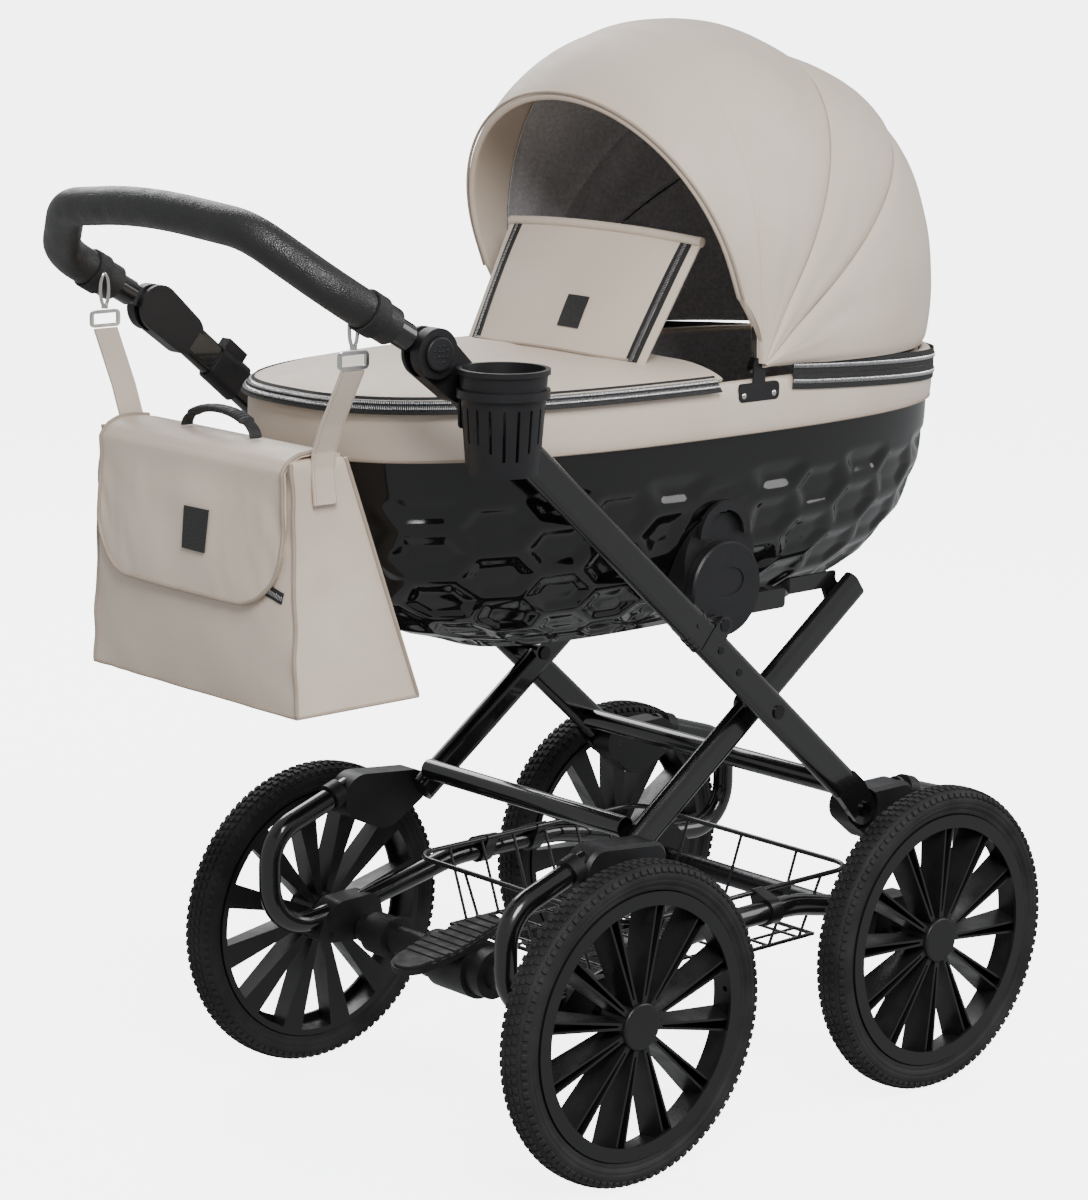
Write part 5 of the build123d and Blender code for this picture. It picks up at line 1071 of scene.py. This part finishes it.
bag_rows = [bag_ring(0.0, 0.02), bag_ring(0.0, 0.5), bag_ring(0.0, 0.95), bag_ring(0.012, 1.0)]
bag_rows += [bag_ring(0.012 + 0.97 * i / 30, 1.0) for i in range(1, 31)]
bag_rows += [bag_ring(0.995, 0.93), bag_ring(1.0, 0.6), bag_ring(1.0, 0.05)]
bag = grid_piece("bag_case", bag_rows, leather, around=True, smooth=38.0)
work = bmesh.new()
work.from_mesh(bag.data)
work.verts.ensure_lookup_table()
bag_wide = len(bag_rows[0])
work.faces.new([work.verts[i] for i in range(bag_wide)])
work.faces.new([work.verts[len(work.verts) - bag_wide + i] for i in range(bag_wide)])
bmesh.ops.recalc_face_normals(work, faces=work.faces)
work.to_mesh(bag.data)
work.free()
smooth_faces(bag.data, 38.0)
bag_cords = []
for corner in (0, 24, 36, 60):
    line = [bag_ring(0.012 + 0.98 * i / 30, 1.0)[corner] for i in range(31)]
    bag_cords.append(cord_round("bag_cord", line, 0.0022, piping_leather))
bag_cords.append(cord_round("bag_foot_cord", bag_ring(0.006, 1.0), 0.0018, piping_leather, closed=True))
pocket = []
for i in range(31):
    off = 152.0 - 60.0 * i / 30
    pocket.append(place(bag_front_x(off, 664.0 + 16.0 * i / 30) - 0.8, off, 664.0 + 16.0 * i / 30))
bag = joined("bag_case", [bag] + bag_cords)
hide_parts("bag_body")
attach(bag, "bag")
zip_line("bag_zip", pocket, [Vector((-1.0, 0.0, 0.05)).normalized()] * 31, 0.006, "bag", 0.0004)

flap_half = 152.0
flap_low = 652.0
flap_corner = 62.0
flap_over = [(-541.0, 801.5), (-556.0, 804.5), (-575.0, 805.8), (-592.0, 804.5), (-604.0, 799.0), (-612.0, 789.0)]
flap_clear = 4.5


def flap_point(off, share, out=0.0):
    """A point of the flap: from its root behind the top, share 0, to its lower edge, share 1."""
    inner = max(0.0, abs(off) - flap_half + flap_corner)
    low = flap_low + flap_corner - (max(0.0, flap_corner ** 2 - inner ** 2)) ** 0.5
    top_share = 0.36
    if share < top_share:
        at = share / top_share * (len(flap_over) - 1)
        i = min(int(at), len(flap_over) - 2)
        k = at - i
        x = flap_over[i][0] * (1 - k) + flap_over[i + 1][0] * k
        z = flap_over[i][1] * (1 - k) + flap_over[i + 1][1] * k
        lean = share / top_share
        return place(x - out * lean, off, z + out * (1 - lean))
    k = (share - top_share) / (1 - top_share)
    z = flap_over[-1][1] + (low - flap_over[-1][1]) * k
    start = flap_over[-1][0]
    x = bag_front_x(off, z) - flap_clear
    blend = min(1.0, k * 3.0)
    blend = blend * blend * (3 - 2 * blend)
    return place(start + (x - start) * blend - out, off, z)


flap_rows = [[flap_point(flap_half * (2 * j / 48 - 1), i / 48) for j in range(49)] for i in range(49)]
flap = grid_piece("flap_cover", flap_rows, leather, smooth=50.0)
flap_facing = flap.data.polygons[40 * 48 + 24].normal
if flap_facing.x > 0:
    flap.data.flip_normals()
thicken(flap, 0.003, 50.0)
flap_edge = [flap_point(-flap_half + 1.0, 0.05 + 0.95 * i / 30, 1.0) for i in range(31)]
flap_edge += [flap_point(-flap_half + 1.0 + (2 * flap_half - 2.0) * i / 60, 1.0, 1.0) for i in range(1, 60)]
flap_edge += [flap_point(flap_half - 1.0, 1.0 - 0.95 * i / 30, 1.0) for i in range(31)]
flap_cord = cord_round("flap_cord", flap_edge, 0.0022, piping_leather)
patch = [[flap_point(42.0 - 38.0 * j / 4, 0.80 - 0.20 * i / 4, 1.4) for j in range(5)] for i in range(5)]
flap_patch = thicken(grid_piece("flap_patch", patch, patch_black), 0.0014)
flap = joined("flap_cover", [flap, flap_cord, flap_patch])
smooth_faces(flap.data, 50.0)
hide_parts("bag_flap")
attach(flap, "flap")

# The bag's carry handle is a ribbed black rubber sleeve on a webbing arch.
carry_rows = []
carry_base = 806.4
for i in range(121):
    t = pi * i / 120
    middle = Vector((0.0, 57.0 * cos(t), 23.0 * sin(t)))
    along = Vector((0.0, -57.0 * sin(t), 23.0 * cos(t))).normalized()
    out = along.cross(Vector((1, 0, 0))).normalized()
    in_sleeve = 1.0 if 0.22 < i / 120 < 0.78 else 0.0
    rib = 1.0 * sin(2 * pi * i / 120 * 34) * in_sleeve
    wide = 7.6 + 1.9 * in_sleeve + rib * 0.5
    deep = 2.3 + 1.6 * in_sleeve + rib * 0.5
    row = []
    for j in range(20):
        a = 2 * pi * j / 20
        spot = middle + Vector((1, 0, 0)) * wide * cos(a) + out * deep * sin(a)
        row.append(place(-572.0 + spot.x, spot.y, carry_base + 1.0 + spot.z))
    carry_rows.append(row)
carry = grid_piece("carry_sleeve", carry_rows, pad_rubber, around=True, smooth=50.0)
work = bmesh.new()
work.from_mesh(carry.data)
work.verts.ensure_lookup_table()
work.faces.new([work.verts[i] for i in range(20)])
work.faces.new([work.verts[len(work.verts) - 20 + i] for i in range(20)])
bmesh.ops.recalc_face_normals(work, faces=work.faces)
work.to_mesh(carry.data)
work.free()
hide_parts("bag_handle")
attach(carry, "carry")


# Each bag strap is a folded leather strap, sewn along both edges, from the side gusset up to a
# chrome ring. A sprung hook joins the ring to a black webbing loop round the grip.
strap_x = -568.0
strap_spots = [(163.0, 755.0), (158.6, 790.0), (160.0, 806.0), (172.0, 834.0), (203.5, 890.0)]
strap_pieces = []
hook_pieces = []
stitch_spots = []
for side in (1, -1):
    rows = []
    for i in range(41):
        at = i / 40 * (len(strap_spots) - 1)
        k = min(int(at), len(strap_spots) - 2)
        f = at - k
        off = strap_spots[k][0] * (1 - f) + strap_spots[k + 1][0] * f + 1.6
        z = strap_spots[k][1] * (1 - f) + strap_spots[k + 1][1] * f
        rows.append([place(strap_x + 14.5 * w, side * off, z) for w in (-1.0, -0.85, -0.3, 0.3, 0.85, 1.0)])
    strap = grid_piece("bag_strap", rows if side > 0 else [row[::-1] for row in rows], leather, smooth=40.0)
    facing = strap.data.polygons[100].normal
    if facing.y * side > 0:
        strap.data.flip_normals()
    strap_pieces.append(thicken(strap, 0.0026, 40.0))
    for column in (1, 4):
        for p, ahead, at in evenly([row[column] for row in rows], 0.0036):
            stitch_spots.append((p + Vector((0, -side * 0.0003, 0)), ahead, Vector((0, -side, 0.4)).normalized()))
    hook = [place(strap_x + 5.2 * cos(2 * pi * i / 32), side * 205.0, 931.0 + 17.0 * sin(2 * pi * i / 32)) for i in range(32)]
    hook_pieces.append(cord_round("hook", hook, 0.0019, chrome, closed=True, sides=4))
    barrel = [place(strap_x, side * 205.0, z) for z in (911.5, 913.0, 916.0)]
    hook_pieces.append(cord_round("hook_barrel", barrel, 0.0036, chrome, sides=4))
strap_stitches = repeated("strap_stitches", block("stitch", (0.0024, 0.0006, 0.0005), 0.0002), stitch_spots, thread)
straps = joined("bag_strap_pair", strap_pieces + [strap_stitches])
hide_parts("bag_straps")
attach(straps, "bag")
grip_from = Vector((-520.0, 227.0, 922.6))
grip_to = Vector((-608.0, 227.0, 972.0))
for side in (1, -1):
    middle = grip_from.lerp(grip_to, 0.52)
    along = (grip_to - grip_from).normalized()
    across = Vector((0.0, 1.0, 0.0))
    out = along.cross(across)
    rows = []
    for i in range(48):
        a = 2 * pi * i / 48
        rim = []
        for step, radius in ((-9.0, 20.0), (-8.5, 22.0), (8.5, 22.0), (9.0, 20.0)):
            spot = middle + along * step + (across * cos(a) + out * sin(a)) * radius
            rim.append(place(spot.x, side * spot.y, spot.z))
        rows.append(rim)
    loop = grid_piece("grip_loop", rows + [rows[0]], zip_black, smooth=40.0)
    work = bmesh.new()
    work.from_mesh(loop.data)
    bmesh.ops.remove_doubles(work, verts=work.verts, dist=1e-6)
    bmesh.ops.recalc_face_normals(work, faces=work.faces)
    work.to_mesh(loop.data)
    work.free()
    hook_pieces.append(loop)
hooks = joined("bag_hook_pair", hook_pieces)
smooth_faces(hooks.data, 50.0)
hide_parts("bag_hooks")
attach(hooks, "handle")


# Small fasteners: raised dimples on the handle buttons, round-headed screws in the hood's hinge
# plates, and a red dot on each lock collar that shows when it is locked.
dimple_r = 0.0013
screw_r = 0.0034
dot_red = new_material("dot_red", (0.55, 0.02, 0.02), 0.4)
shade(dot_red, pattern(dot_red, "ShaderNodeTexNoise", 300.0).outputs["Fac"], "Roughness", 0.3, 0.5)
for label, body, side in (("button_right", "right_button", -1), ("button_left", "left_button", 1)):
    low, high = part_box(label)
    face_y = low.y if side < 0 else high.y
    middle = (low + high) / 2
    spots = []
    for ring, count in ((0.0035, 4), (0.0085, 8)):
        for i in range(count):
            a = 2 * pi * (i + 0.5) / count
            spots.append((Vector((middle.x + ring * cos(a), face_y, middle.z + ring * sin(a))), Vector((1, 0, 0)),
                          Vector((0, side, 0))))
    dimples = repeated(label + "_dimples", dome("dimple", dimple_r, 0.0007, 10, 3), spots, plastic_black)
    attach(dimples, body)
low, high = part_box("hood_brackets")
spots = []
for side, face_y in ((-1, low.y), (1, high.y)):
    for x in (-28.0, 18.0):
        where = place(x, 0.0, 819.0)
        spots.append((Vector((where.x, face_y, where.z)), Vector((1, 0, 0)), Vector((0, side, 0))))
screws = repeated("hinge_screws", dome("screw", screw_r, 0.0012, 16, 4), spots, chrome)
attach(screws, "carrycot")
low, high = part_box("lock_collars")
spots = [(Vector(((low.x + high.x) / 2, y, high.z - 0.0105)), Vector((1, 0, 0)), Vector((0, side, 0)))
         for y, side in ((low.y, -1), (high.y, 1))]
dots = repeated("collar_dots", dome("dot", 0.003, 0.001, 14, 4), spots, dot_red)
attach(dots, "collars")
